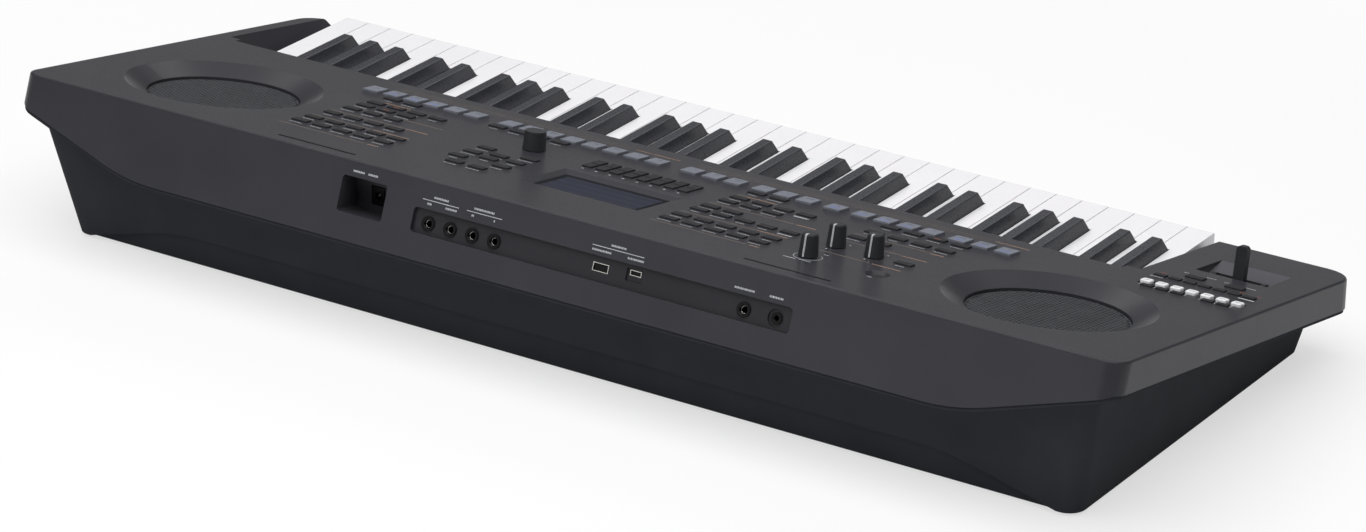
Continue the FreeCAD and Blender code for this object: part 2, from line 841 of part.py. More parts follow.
lower_case = lower_case.fuse(liner).cut(step_block.cut(step_core))

head_seat = foot_height + screw_head_height + screw_sink
floor_parts = []
floor_cuts = []
for x, y in case_post_places:
    floor_parts.append(rod(x, y, foot_height + wall / 2, post_top_z, case_post_radius + 2))
    floor_cuts.append(rod(x, y, foot_height - 1, post_top_z + 1, screw_radius + screw_clearance))
    floor_cuts.append(rod(x, y, foot_height - 1, head_seat, screw_head_radius + seat_gap))
for x in frame_post_xs:
    for y in frame_post_ys:
        floor_parts.append(rod(x, y, foot_height + wall / 2, frame_plate_z, case_post_radius))
        floor_cuts.append(rod(x, y, frame_plate_z - screw_length, frame_plate_z + 1,
                              screw_radius + screw_clearance))
for sx in (-1, 1):
    for sy in (-1, 1):
        x = main_board_x + sx * (main_board_width / 2 - 2 * post_radius)
        y = main_board_y + sy * (main_board_length / 2 - 2 * post_radius)
        floor_parts.append(rod(x, y, foot_height + wall / 2, main_board_z, post_radius))
lower_case = lower_case.fuse(floor_parts).cut(floor_cuts)
save(lower_case, "lower_case")

# Rubber feet and screws
feet = [rod(x, y, 0, foot_height, foot_radius) for x, y in foot_places]
save(Part.makeCompound(feet), "rubber_feet")


def screw(x, y, head_z):
    # A pan head with its shank pointing down
    head = rod(x, y, head_z, head_z + screw_head_height, screw_head_radius)
    return head.fuse(rod(x, y, head_z - screw_length, head_z, screw_radius)).removeSplitter()


case_screw_list = []
for x, y in case_post_places:
    head = rod(x, y, head_seat - screw_head_height, head_seat, screw_head_radius)
    shank = rod(x, y, head_seat, post_top_z + screw_length - 1, screw_radius)
    case_screw_list.append(head.fuse(shank).removeSplitter())
save(Part.makeCompound(case_screw_list), "case_screws")

# Key chassis with its end plates, pivot rod, contact board and felt
plate_top = frame_plate_z + frame_plate_thickness
pivot_z = key_top_z - pivot_drop
plate_right_x = lower_bottom_half - wall - seat_gap
plate = box(keys_left_x, plate_right_x, frame_front_y, frame_rear_y, frame_plate_z, plate_top)
back_y = key_tail_y + frame_back_gap
back_plate = box(keys_left_x, plate_right_x, back_y, frame_rear_y, plate_top, key_top_z)
ear_z = rail_top + frame_back_gap
back_end = box(plate_right_x, keys_right_x, back_y, frame_rear_y, ear_z, key_top_z)
frame_parts = [plate, back_plate, back_end]
for x0, x1 in ((keys_left_x - wall, keys_left_x), (keys_right_x, keys_right_x + wall)):
    frame_parts.append(box(x0, x1, pivot_y - 3 * pivot_radius, frame_rear_y,
                           ear_z, pivot_z + 2 * pivot_radius))
key_frame = fused(frame_parts)
rod_x0 = keys_left_x - wall
rod_x1 = keys_right_x + wall
bore = Part.makeCylinder(pivot_radius + pivot_clearance, rod_x1 - rod_x0 + 2 * wall,
                         V(rod_x0 - wall, pivot_y, pivot_z), V(1, 0, 0))
frame_screw_cuts = []
frame_screws = []
for x in frame_post_xs:
    for y in frame_post_ys:
        frame_screw_cuts.append(rod(x, y, frame_plate_z - 1, plate_top + 1, screw_radius + screw_clearance))
        frame_screws.append(screw(x, y, plate_top))
key_frame = key_frame.cut([bore] + frame_screw_cuts)
save(key_frame, "key_frame")
save(Part.makeCompound(frame_screws), "frame_screws")
pivot_rod = Part.makeCylinder(pivot_radius, rod_x1 - rod_x0, V(rod_x0, pivot_y, pivot_z), V(1, 0, 0))
save(pivot_rod, "key_pivot_rod")

contact_board = box(keys_left_x + wall, plate_right_x - wall, contact_y - contact_width / 2,
                    contact_y + contact_width / 2, plate_top, plate_top + board_thickness)
save(contact_board, "contact_board")
contact_drop = key_swing * (pivot_y - contact_y + rubber_width / 2) + felt_gap
rubber_top = key_bottom - contact_drop
rubber = box(keys_left_x + 2 * wall, plate_right_x - 2 * wall, contact_y - rubber_width / 2,
             contact_y + rubber_width / 2, plate_top + board_thickness, rubber_top)
save(rubber, "contact_rubber")
felt_drop = key_swing * (pivot_y - felt_y + felt_width / 2) + felt_gap
felt = box(keys_left_x + wall, plate_right_x - wall, felt_y - felt_width / 2, felt_y + felt_width / 2,
           plate_top, key_bottom - felt_drop)
save(felt, "key_felt")

# Keys: the notes of an octave, with the black key that follows a white one
white_names = ("c", "d", "e", "f", "g", "a", "b")
black_after = {"c": "c_sharp", "d": "d_sharp", "f": "f_sharp", "g": "g_sharp", "a": "a_sharp"}


def boundary_x(i):
    return keys_left_x + i * white_pitch


def black_centre(i):
    # Centre of the black key between white keys i - 1 and i, or None
    if i <= 0 or i >= white_count:
        return None
    name = black_after.get(white_names[(i - 1) % 7])
    if name is None:
        return None
    return boundary_x(i) + black_offsets[name]


def bored(shape, x0, x1):
    start = V(x0 - 1, pivot_y, pivot_z)
    hole = Part.makeCylinder(pivot_radius + pivot_clearance, x1 - x0 + 2, start, V(1, 0, 0))
    return shape.cut(hole)


def white_key(i):
    x0 = boundary_x(i) + key_gap / 2
    x1 = boundary_x(i + 1) - key_gap / 2
    left = black_centre(i)
    right = black_centre(i + 1)
    neck0 = x0 if left is None else left + black_width / 2 + key_gap
    neck1 = x1 if right is None else right - black_width / 2 - key_gap
    shoulder = black_front_y - key_gap
    plan = [V(x0, key_front_y, 0), V(x1, key_front_y, 0)]
    if neck1 < x1:
        plan += [V(x1, shoulder, 0), V(neck1, shoulder, 0)]
    plan += [V(neck1, key_tail_y, 0), V(neck0, key_tail_y, 0)]
    if neck0 > x0:
        plan += [V(neck0, shoulder, 0), V(x0, shoulder, 0)]
    slab = Part.Face(polygon(plan)).extrude(V(0, 0, white_thickness))
    slab.translate(V(0, 0, key_top_z - white_thickness))
    front = box(x0, x1, key_front_y, key_front_y + white_front_thickness,
                key_top_z - white_front_height, key_top_z)
    key = slab.fuse(front).removeSplitter()
    front_edges = [e for e in key.Edges if e.BoundBox.YMax < key_front_y + 0.01]
    nose = [e for e in front_edges if e.BoundBox.ZMin > key_top_z - 0.01]
    key = key.makeFillet(white_edge_radius, nose)
    return bored(key, x0, x1)


def black_key(i):
    x = black_centre(i)
    half = black_width / 2
    top_half = black_top_width / 2
    z0 = key_top_z
    z1 = key_top_z + black_height
    base = box(x - half, x + half, black_front_y, key_tail_y, key_top_z - white_thickness, z0)
    y1 = black_neck_y
    low = polygon([V(x - half, black_front_y, z0), V(x + half, black_front_y, z0),
                   V(x + half, y1, z0), V(x - half, y1, z0)])
    y0 = black_front_y + black_front_slope
    high = polygon([V(x - top_half, y0, z1), V(x + top_half, y0, z1),
                    V(x + top_half, y1, z1), V(x - top_half, y1, z1)])
    crown = Part.makeLoft([low, high], True, True)
    sharp = [e for e in crown.Edges if e.BoundBox.ZMax > z1 - 0.01 and e.BoundBox.YMin < y1 - 0.01]
    crown = crown.makeFillet(black_edge_radius, sharp)
    neck = box(x - top_half, x + top_half, y1, key_tail_y, z0, z0 + black_neck_height)
    key = base.fuse([crown, neck]).removeSplitter()
    return bored(key, x - half, x + half)


octave = {}
for i in range(white_count):
    octave.setdefault("keys_" + white_names[i % 7], []).append(white_key(i))
    if black_centre(i) is not None:
        octave.setdefault("keys_" + black_after[white_names[(i - 1) % 7]], []).append(black_key(i))
for name, solids in octave.items():
    save(Part.makeCompound(solids), name)

# Speakers and their grilles
for side, word in ((-1, "left"), (1, "right")):
    x = side * speaker_x
    y = -(rear_edge_y - speaker_y) / math.cos(slope)
    grille = rod(x, y, -dish_depth, -dish_depth + grille_thickness,
                 dish_floor_radius - grille_clearance)
    save(on_panel(grille), word + "_grille")
    seat = -dish_depth - wall
    low = seat - basket_depth
    profile = [(0, seat - cone_depth + dust_cap_rise), (dust_cap_radius, seat - cone_depth),
               (sound_hole_radius - surround_inner, seat - 1), (sound_hole_radius - surround_outer, seat),
               (basket_radius, seat), (basket_radius, seat - basket_rim),
               (magnet_radius + magnet_collar, low), (magnet_radius, low),
               (magnet_radius, low - magnet_depth), (0, low - magnet_depth)]
    face = Part.Face(polygon([V(x + radius, 0, z) for radius, z in profile]))
    speaker = face.revolve(V(x, 0, 0), V(0, 0, 1), 360)
    speaker.translate(V(0, y, 0))
    save(on_panel(speaker), word + "_speaker")

# Display window and the module behind it
window = box(dx - seat_half_w + button_clearance, dx + seat_half_w - button_clearance,
             dy - seat_half_l + button_clearance, dy + seat_half_l - button_clearance, seat_z, -display_depth)
save(on_panel(window), "display_window")
lcd_top = seat_z - wall
lcd = box(dx - half_w + wall, dx + half_w - wall, dy - half_l + wall, dy + half_l - wall,
          -board_depth, lcd_top)
save(on_panel(lcd), "lcd_module")

# Panel board under the buttons
board = on_panel(box(board_left_x, board_right_x, -board_front, -board_rear,
                     -board_depth - board_thickness, -board_depth))
post_holes = [rod(x, y, 0, far, case_post_radius + post_clearance) for x, y in case_post_places]
save(board.cut(post_holes), "panel_board")

# Buttons
for node, group in buttons.items():
    solids = [on_panel(button_body(*sizes)) for sizes in group]
    save(Part.makeCompound(solids), node)

# Rotary controls: a cap with its stem, running in a pot on the panel board
pot_top = -board_depth + pot_height
pots = []
for number, (x, down) in enumerate(knob_places):
    y = -down
    body = box(x - pot_size / 2, x + pot_size / 2, y - pot_size / 2, y + pot_size / 2, -board_depth, pot_top)
    pots.append(on_panel(body.cut(rod(x, y, -board_depth + 1, pot_top + 1, stem_radius + stem_clearance))))
    shoulder = knob_gap + knob_height - 1
    cap = taper(x, y, knob_gap, shoulder, knob_radius, knob_top_radius)
    crown = taper(x, y, shoulder, shoulder + 1, knob_top_radius, knob_top_radius - 1)
    stem = rod(x, y, -board_depth + 1 + seat_gap, knob_gap + 1, stem_radius)
    save(on_panel(fused([cap, crown, stem])), "knob_" + str(number + 1))
save(Part.makeCompound(pots), "knob_pots")

y = -dial_from_rear
encoder = box(dial_x - pot_size / 2, dial_x + pot_size / 2, y - pot_size / 2, y + pot_size / 2,
              -board_depth, pot_top)
encoder = encoder.cut(rod(dial_x, y, -board_depth + 1, pot_top + 1, stem_radius + stem_clearance))
save(on_panel(encoder), "dial_encoder")


def facet_ring(radius, z):
    points = []
    for k in range(dial_facets):
        a = 2 * math.pi * k / dial_facets
        points.append(V(dial_x + radius * math.cos(a), y + radius * math.sin(a), z))
    return polygon(points)


dial_top = knob_gap + dial_height
dial_cap = Part.makeLoft([facet_ring(dial_radius, knob_gap), facet_ring(dial_top_radius, dial_top)],
                         True, True)
dial_stem = rod(dial_x, y, -board_depth + 1 + seat_gap, knob_gap + 1, stem_radius)
save(on_panel(fused([dial_cap, dial_stem])), "data_dial")

# Power button and its switch
power_seat = -power_dish_depth - wall
power_cap = rod(power_x, power_y, power_seat - power_below, -power_dish_depth + power_height, power_radius)
power_flange = rod(power_x, power_y, power_seat - seat_gap - button_ear_thickness, power_seat - seat_gap,
                   power_radius + power_ear)
save(on_panel(fused([power_cap, power_flange])), "power_button")
switch_top = power_seat - power_below - power_travel - seat_gap
switch = box(power_x - pot_size / 2, power_x + pot_size / 2, power_y - pot_size / 2, power_y + pot_size / 2,
             -board_depth, switch_top)
save(on_panel(switch), "power_switch")

# Bend lever: a well under the panel, a barrel that tips fore and aft, and a lever that swings in it
bx0 = lever_x - barrel_length / 2
by = -barrel_from_rear
bz = -barrel_depth
well_low = -wall - well_depth
well_back = well_y1 + well_back_room
ramp_front = well_y0 + seat_gap
ramp_end = by - barrel_radius - barrel_gap
ramp_low = bz - well_wall
under = box(wx0 - well_wall, wx1 + well_wall, well_y0 - well_wall, well_back + well_wall, well_low, -wall)
# The ramp comes up through the opening and ends level with the panel.
ramp = box(wx0 + seat_gap, wx1 - seat_gap, ramp_front, ramp_end, -2 * wall, 0)
cavity = prism_x([(ramp_front, 0), (ramp_end, ramp_low), (ramp_end, well_low + well_wall),
                  (well_back, well_low + well_wall), (well_back, wall), (ramp_front, wall)], wx0, wx1)
trunnion = Part.makeCylinder(trunnion_radius + trunnion_clearance, well_width + 4 * well_wall,
                             V(wx0 - 2 * well_wall, by, bz), V(1, 0, 0))
well = fused([under, ramp]).cut(cavity).cut(trunnion)
save(on_panel(well), "lever_well")
barrel = Part.makeCylinder(barrel_radius, barrel_length, V(bx0, by, bz), V(1, 0, 0))
axle = Part.makeCylinder(trunnion_radius, well_width + 2 * well_wall, V(wx0 - well_wall, by, bz), V(1, 0, 0))
slot_half = lever_thickness / 2 + lever_slot_gap
slot = box(lever_x - lever_slot_length / 2, lever_x + lever_slot_length / 2, by - slot_half, by + slot_half,
           bz - 2 * barrel_radius, bz + 2 * barrel_radius)
pin_hole = Part.makeCylinder(lever_pin_radius + trunnion_clearance, 4 * barrel_radius,
                             V(lever_x, by - 2 * barrel_radius, bz), V(0, 1, 0))
cradle = fused([barrel, axle]).cut([slot, pin_hole])
save(on_panel(cradle), "lever_cradle")
pin_half = barrel_radius - seat_gap
pin = Part.makeCylinder(lever_pin_radius, 2 * pin_half, V(lever_x, by - pin_half, bz), V(0, 1, 0))
save(on_panel(pin), "lever_pin")
lever_r = lever_width / 2
lever_top = bz + lever_height
stick = box(lever_x - lever_r, lever_x + lever_r, by - lever_thickness / 2, by + lever_thickness / 2,
            bz, lever_top)
tip = [e for e in stick.Edges if e.BoundBox.ZMin > lever_top - 0.01 and e.BoundBox.XLength < 0.01]
stick = stick.makeFillet(lever_r * 0.7, tip)
hub = Part.makeCylinder(lever_r, lever_thickness, V(lever_x, by - lever_thickness / 2, bz), V(0, 1, 0))
lever = fused([stick, hub]).cut(pin_hole)
save(on_panel(lever), "pitch_lever")

# Rear sockets on their board
floor_in = -strip_depth - socket_floor
jack_back = floor_in - socket_length


def socket(x, seat, ring_r, bore_r, size):
    # The seat is the floor that the ring lies on. The mouth of the bore is chamfered.
    face = seat + socket_ring_height
    ring = rod(-x, -socket_down, seat, face, ring_r)
    neck = rod(-x, -socket_down, floor_in, seat, ring_r - socket_neck_step)
    body = box(-x - size / 2, -x + size / 2, -socket_down - size / 2, -socket_down + size / 2,
               jack_back, floor_in)
    hole = rod(-x, -socket_down, jack_back + socket_back, face, bore_r)
    mouth = taper(-x, -socket_down, face - socket_mouth, face, bore_r, bore_r + socket_mouth)
    return on_rear(fused([ring, neck, body]).cut([hole, mouth]))


outputs = [socket(output_x - i * output_pitch, -strip_depth, socket_ring_radius, socket_bore, socket_body)
           for i in range(output_count)]
save(Part.makeCompound(outputs), "output_sockets")
save(socket(mic_x, -strip_depth, socket_ring_radius, socket_bore, socket_body), "microphone_socket")
save(socket(aux_x, aux_floor, aux_ring_radius, aux_bore, aux_body), "audio_socket")


def port(x, down, seat, width, height, tongue_width, tongue_height, tongue_low):
    # A metal shell, open to the rear, with a tongue inside
    x0 = -x - width / 2
    y0 = -down - height / 2
    end = seat - port_length
    body = box(x0, x0 + width, y0, y0 + height, jack_back, seat)
    room = box(x0 + port_shell, x0 + width - port_shell, y0 + port_shell, y0 + height - port_shell, end, seat)
    tongue_y = tongue_low - down
    tongue = box(-x - tongue_width / 2, -x + tongue_width / 2, tongue_y, tongue_y + tongue_height,
                 end - port_shell, seat - tongue_step)
    return on_rear(body.cut(room).fuse(tongue).removeSplitter())


save(port(host_x, host_down, -strip_depth, host_width, host_height, host_tongue_width, host_tongue_height,
          host_tongue_low), "usb_host_port")
save(port(device_x, device_down, device_floor, device_width, device_height, device_tongue_width,
          device_tongue_height, device_tongue_low), "usb_device_port")

inlet_face = dc_back_y + dc_inlet_proud
inlet_body = inlet_block(0, dc_back_y - wall - dc_inlet_length, inlet_face)
inlet_flange = inlet_block(dc_flange, dc_back_y - wall - dc_flange, dc_back_y - wall)
inlet_hole = Part.makeCylinder(dc_bore, dc_inlet_length, V(dc_inlet_x, inlet_face, inlet_z), V(0, -1, 0))
pin_end = V(dc_inlet_x, inlet_face - dc_flange, inlet_z)
inlet_pin = Part.makeCylinder(dc_pin_radius, dc_inlet_length, pin_end, V(0, -1, 0))
inlet = fused([inlet_body, inlet_flange]).cut(inlet_hole)
save(inlet.fuse(inlet_pin).removeSplitter(), "power_inlet")

jack_board = box(-output_x - socket_body, -aux_x + socket_body, -socket_down - socket_body,
                 -socket_down + socket_body, jack_back - board_thickness, jack_back)
save(on_rear(jack_board), "socket_board")

main_board = box(main_board_x - main_board_width / 2, main_board_x + main_board_width / 2,
                 main_board_y - main_board_length / 2, main_board_y + main_board_length / 2,
                 main_board_z, main_board_z + board_thickness)
save(main_board, "main_board")
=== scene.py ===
import bmesh
import bpy
import math
from mathutils import Matrix, Vector


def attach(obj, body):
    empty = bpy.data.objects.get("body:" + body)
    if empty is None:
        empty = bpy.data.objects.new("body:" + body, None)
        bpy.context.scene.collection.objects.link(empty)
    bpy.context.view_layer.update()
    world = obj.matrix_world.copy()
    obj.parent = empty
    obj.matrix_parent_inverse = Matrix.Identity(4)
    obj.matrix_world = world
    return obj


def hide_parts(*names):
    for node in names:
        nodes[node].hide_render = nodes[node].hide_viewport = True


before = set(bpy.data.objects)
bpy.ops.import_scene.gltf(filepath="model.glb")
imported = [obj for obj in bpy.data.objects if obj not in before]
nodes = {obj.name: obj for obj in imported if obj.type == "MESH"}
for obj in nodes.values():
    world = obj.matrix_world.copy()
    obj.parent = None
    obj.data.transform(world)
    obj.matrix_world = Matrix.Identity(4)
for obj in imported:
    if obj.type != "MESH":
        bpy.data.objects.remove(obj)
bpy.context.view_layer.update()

scene = bpy.context.scene
scene.view_settings.view_transform = "Standard"

# Places on the instrument are in millimetres: on the sloping panel (x along it, y up the slope to its
# rear edge at 0, z out of it) or on the leaning rear face (x to the right from behind, y up, z out).
caseLines = {"rearEdgeY": 186.9, "rearEdgeZ": 135.7, "panelSlope": 10.25, "rearTilt": 21.3}
slope = math.radians(caseLines["panelSlope"])
tilt = math.radians(caseLines["rearTilt"])
toMetres = Matrix.Scale(0.001, 4)
rearEdge = Matrix.Translation((0, caseLines["rearEdgeY"] / 1000, caseLines["rearEdgeZ"] / 1000))
panelPlace = rearEdge @ Matrix.Rotation(slope, 4, "X") @ toMetres
rearPlace = rearEdge @ Matrix((
    (-1, 0, 0, 0),
    (0, -math.sin(tilt), math.cos(tilt), 0),
    (0, math.cos(tilt), math.sin(tilt), 0),
    (0, 0, 0, 1))) @ toMetres


def addNode(tree, kind, settings=None, inputs=None):
    # An input takes a value, a socket, a node for its first output, or a list of these to join
    node = tree.nodes.new(kind)
    for key, value in (settings or {}).items():
        setattr(node, key, value)
    for key, value in (inputs or {}).items():
        for part in value if isinstance(value, list) else [value]:
            source = part.outputs[0] if isinstance(part, bpy.types.Node) else part
            if isinstance(source, bpy.types.NodeSocket):
                tree.links.new(source, node.inputs[key])
            else:
                node.inputs[key].default_value = source
    return node


def linear(code):
    # sRGB hex to linear light
    parts = [int(code[i:i + 2], 16) / 255 for i in (1, 3, 5)]
    return tuple(p / 12.92 if p <= 0.04045 else ((p + 0.055) / 1.055) ** 2.4 for p in parts) + (1.0,)


def perMetre(size):
    # Texture scale for a pattern of this size in millimetres
    return 1000.0 / size


def newMaterial(name):
    material = bpy.data.materials.new(name)
    material.use_nodes = True
    material.node_tree.nodes.clear()
    return material, material.node_tree


def recessShadeShare(tree, place, recessShade):
    # Mask for painted shade: one inside a sunken field of the leaning rear face, nought elsewhere; sizes in
    # millimetres
    local = addNode(tree, "ShaderNodeMapping", {"vector_type": "TEXTURE"}, {
        "Vector": place, "Location": rearEdge.translation, "Rotation": (tilt - math.pi / 2, 0, 0)})
    axes = addNode(tree, "ShaderNodeSeparateXYZ", inputs={0: local}).outputs
    share = addNode(tree, "ShaderNodeMath", {"operation": "LESS_THAN"}, {0: axes[2], 1: recessShade["out"] / 1000})
    for axis, (low, high) in enumerate((recessShade["x"], recessShade["y"])):
        within = addNode(tree, "ShaderNodeMath", {"operation": "COMPARE"}, {
            0: axes[axis], 1: (low + high) / 2000, 2: (high - low) / 2000})
        share = addNode(tree, "ShaderNodeMath", {"operation": "MULTIPLY"}, {0: share, 1: within})
    return share


finishBase = {
    "driftDetail": 3.0, "grainDetail": 2.0, "speckle": 0.3, "shadeRange": (0.35, 0.95),
    "glossRange": (0.3, 0.7), "bumpDepth": 0.0002, "edgeSamples": 4}


def surface(name, look):
    # One finish: a colour that drifts between two shades, gloss that varies with the grain, and a fine bump
    material, tree = newMaterial(name)
    place = addNode(tree, "ShaderNodeTexCoord").outputs["Object"]
    drift = addNode(tree, "ShaderNodeTexNoise", inputs={
        "Vector": place, "Scale": perMetre(look["drift"]), "Detail": finishBase["driftDetail"]})
    grain = addNode(tree, "ShaderNodeTexNoise", inputs={
        "Vector": place, "Scale": perMetre(look["grain"]), "Detail": finishBase["grainDetail"]})
    both = addNode(tree, "ShaderNodeMath", {"operation": "MULTIPLY_ADD"}, {
        0: grain, 1: finishBase["speckle"], 2: drift})
    low, high = finishBase["shadeRange"]
    shade = addNode(tree, "ShaderNodeMapRange", inputs={"Value": both, "From Min": low, "From Max": high})
    tone = addNode(tree, "ShaderNodeMix", {"data_type": "RGBA"}, {
        0: shade, 6: linear(look["dark"]), 7: linear(look["light"])}).outputs[2]
    # Painted shade: the colour is multiplied darker inside a sunken field.
    if "recessShade" in look:
        tone = addNode(tree, "ShaderNodeMix", {"data_type": "RGBA", "blend_type": "MULTIPLY"}, {
            0: recessShadeShare(tree, place, look["recessShade"]), 6: tone, 7: linear(look["recessShade"]["tone"])}).outputs[2]
    low, high = finishBase["glossRange"]
    rough = addNode(tree, "ShaderNodeMapRange", inputs={
        "Value": grain, "From Min": low, "From Max": high,
        "To Min": look["rough"] - look["roughSpread"], "To Max": look["rough"] + look["roughSpread"]})
    normal = addNode(tree, "ShaderNodeBump", inputs={
        "Height": grain, "Strength": look["bump"], "Distance": finishBase["bumpDepth"]})
    if "edge" in look:
        # Moulded edges are a little rounded and catch the light.
        rounded = addNode(tree, "ShaderNodeBevel", {"samples": finishBase["edgeSamples"]}, {
            "Radius": look["edge"] / 1000})
        tree.links.new(rounded.outputs[0], normal.inputs["Normal"])
    shader = addNode(tree, "ShaderNodeBsdfPrincipled", inputs={
        "Base Color": tone, "Roughness": rough, "Normal": normal, **look.get("sockets", {})})
    addNode(tree, "ShaderNodeOutputMaterial", inputs={"Surface": shader})
    return material


# Painted shade: inside the sunken strip round the sockets, walls included, the case's colour is darkened for
# the recess.
socketRecessShade = {"x": (-234.8, 106.3), "y": (22.2, 41.9), "out": -0.3, "tone": "#d4d4d6"}
# ABS, injection moulded in a spark-eroded tool: satin charcoal with a very fine grain. The real grain is
# about 0.2 mm and is drawn at 1.3 mm so that it shows.
caseAbs = surface("mouldedAbsCharcoal", {
    "dark": "#343439", "light": "#3a3a3f", "drift": 60.0, "grain": 1.3, "rough": 0.34, "roughSpread": 0.05,
    "bump": 0.03, "edge": 0.5, "sockets": {"Specular IOR Level": 0.19}, "recessShade": socketRecessShade})
# The tub is the same plastic in near black with a coarser leather-like grain, which kills the gloss.
tubAbs = surface("grainedAbsBlack", {
    "dark": "#303136", "light": "#36373c", "drift": 40.0, "grain": 1.6, "rough": 0.72, "roughSpread": 0.06,
    "bump": 0.16, "edge": 0.6, "sockets": {"Specular IOR Level": 0.04}})
# The lever's well, a separate smooth, dull insert, is painted lighter than the panel: a painted highlight.
wellPaintedLighterAbs = surface("smoothAbsPaintedLighter", {
    "dark": "#545459", "light": "#5b5b60", "drift": 30.0, "grain": 1.3, "rough": 0.55, "roughSpread": 0.05,
    "bump": 0.04, "edge": 0.5, "sockets": {"Specular IOR Level": 0.02}})
# Polished styrene key tops: cool white and glossy, with a faint warmth inside.
whiteStyrene = surface("polishedStyreneWhite", {
    "dark": "#f6f5f8", "light": "#fcfbfd", "drift": 90.0, "grain": 4.0, "rough": 0.24, "roughSpread": 0.03,
    "bump": 0.01, "edge": 0.5, "sockets": {
        "Subsurface Weight": 0.05, "Subsurface Radius": (0.004, 0.003, 0.003), "Subsurface Scale": 0.5}})
# Satin styrene of the black keys: soft wide highlights, fingers have polished it a little unevenly.
blackStyrene = surface("satinStyreneBlack", {
    "dark": "#36373c", "light": "#3c3d43", "drift": 30.0, "grain": 1.5, "rough": 0.3, "roughSpread": 0.05,
    "bump": 0.008, "edge": 0.8, "sockets": {"Specular IOR Level": 0.35}})
# Dyed ABS pads: blue-grey with smooth satin tops.
padAbs = surface("tintedAbsGrey", {
    "dark": "#73767f", "light": "#7e818b", "drift": 12.0, "grain": 1.2, "rough": 0.5, "roughSpread": 0.05,
    "bump": 0.02, "edge": 0.4, "sockets": {"Specular IOR Level": 0.08}})
# Button caps in the case's plastic without its gloss, a shade darker than the panel.
buttonAbs = surface("smoothAbsBlack", {
    "dark": "#2f2f32", "light": "#353538", "drift": 15.0, "grain": 1.2, "rough": 0.6, "roughSpread": 0.05,
    "bump": 0.03, "edge": 0.4, "sockets": {"Specular IOR Level": 0.1}})
# White ABS caps: bright, smooth, softly glossy.
whiteAbs = surface("smoothAbsWhite", {
    "dark": "#f3f3f6", "light": "#fafafc", "drift": 10.0, "grain": 2.0, "rough": 0.35, "roughSpread": 0.04,
    "bump": 0.01, "edge": 0.8})
# Soft-touch coating on the knobs: almost black, velvety, with a broad dim highlight.
softCoat = surface("softTouchBlack", {
    "dark": "#303134", "light": "#37383b", "drift": 8.0, "grain": 0.9, "rough": 0.5, "roughSpread": 0.06,
    "bump": 0.05, "edge": 0.4, "sockets": {"Specular IOR Level": 0.2}})
# Perforated mild steel, powder coated: dark with a fine orange peel, drawn at 1 mm.
coatedSteel = surface("powderCoatedSteel", {
    "dark": "#47484b", "light": "#4f5054", "drift": 20.0, "grain": 1.0, "rough": 0.6, "roughSpread": 0.06,
    "bump": 0.08, "sockets": {"Specular IOR Level": 0.06}})
# Glass-filled nylon of the sockets: black and glossier than the case.
socketNylon = surface("glossNylonBlack", {
    "dark": "#0c0c0e", "light": "#131315", "drift": 5.0, "grain": 0.6, "rough": 0.26, "roughSpread": 0.05,
    "bump": 0.03, "edge": 0.3, "sockets": {"Specular IOR Level": 0.12}})
# Nickel-plated brass and steel: bright, faintly clouded from pressing.
nickelPlate = surface("nickelPlate", {
    "dark": "#b4b2ad", "light": "#cfcdc8", "drift": 4.0, "grain": 0.5, "rough": 0.26, "roughSpread": 0.06,
    "bump": 0.02, "sockets": {"Metallic": 1.0}})
# Zinc-plated steel screws, dull and slightly blue.
zincSteel = surface("zincPlatedSteel", {
    "dark": "#8d9095", "light": "#a4a7ab", "drift": 2.0, "grain": 0.4, "rough": 0.4, "roughSpread": 0.08,
    "bump": 0.04, "sockets": {"Metallic": 1.0}})
# Moulded nitrile feet: dead black and dusty.
footRubber = surface("nitrileRubber", {
    "dark": "#161617", "light": "#1f1f20", "drift": 6.0, "grain": 0.8, "rough": 0.85, "roughSpread": 0.06,
    "bump": 0.12, "edge": 0.4, "sockets": {"Specular IOR Level": 0.25}})
# Galvanised sheet of the key chassis, with dull spangles about 8 mm across.
zincSheet = surface("galvanisedSheet", {
    "dark": "#8b8d8f", "light": "#a9abac", "drift": 8.0, "grain": 0.8, "rough": 0.45, "roughSpread": 0.1,
    "bump": 0.03, "sockets": {"Metallic": 1.0}})
# Pressed wool felt, red-brown, with loose fibres that scatter light at the edges.
woolFelt = surface("pressedWoolFelt", {
    "dark": "#5a2423", "light": "#7c3431", "drift": 5.0, "grain": 0.7, "rough": 0.95, "roughSpread": 0.03,
    "bump": 0.5, "sockets": {"Sheen Weight": 0.4, "Specular IOR Level": 0.1}})
# Paper laminate circuit board under green solder mask.
maskedBoard = surface("solderMaskGreen", {
    "dark": "#20432c", "light": "#2c5a3b", "drift": 14.0, "grain": 1.5, "rough": 0.4, "roughSpread": 0.05,
    "bump": 0.05})
# Silicone contact strip, pale grey and waxy.
contactSilicone = surface("contactSilicone", {
    "dark": "#9c9c9a", "light": "#adadab", "drift": 9.0, "grain": 1.0, "rough": 0.6, "roughSpread": 0.05,
    "bump": 0.05, "sockets": {"Subsurface Weight": 0.1, "Subsurface Scale": 0.5}})
# Pressed paper cone in a steel basket: dull black with a fibrous grain.
paperCone = surface("pressedPaperBlack", {
    "dark": "#151516", "light": "#202022", "drift": 7.0, "grain": 0.9, "rough": 0.8, "roughSpread": 0.06,
    "bump": 0.3, "sockets": {"Specular IOR Level": 0.2}})
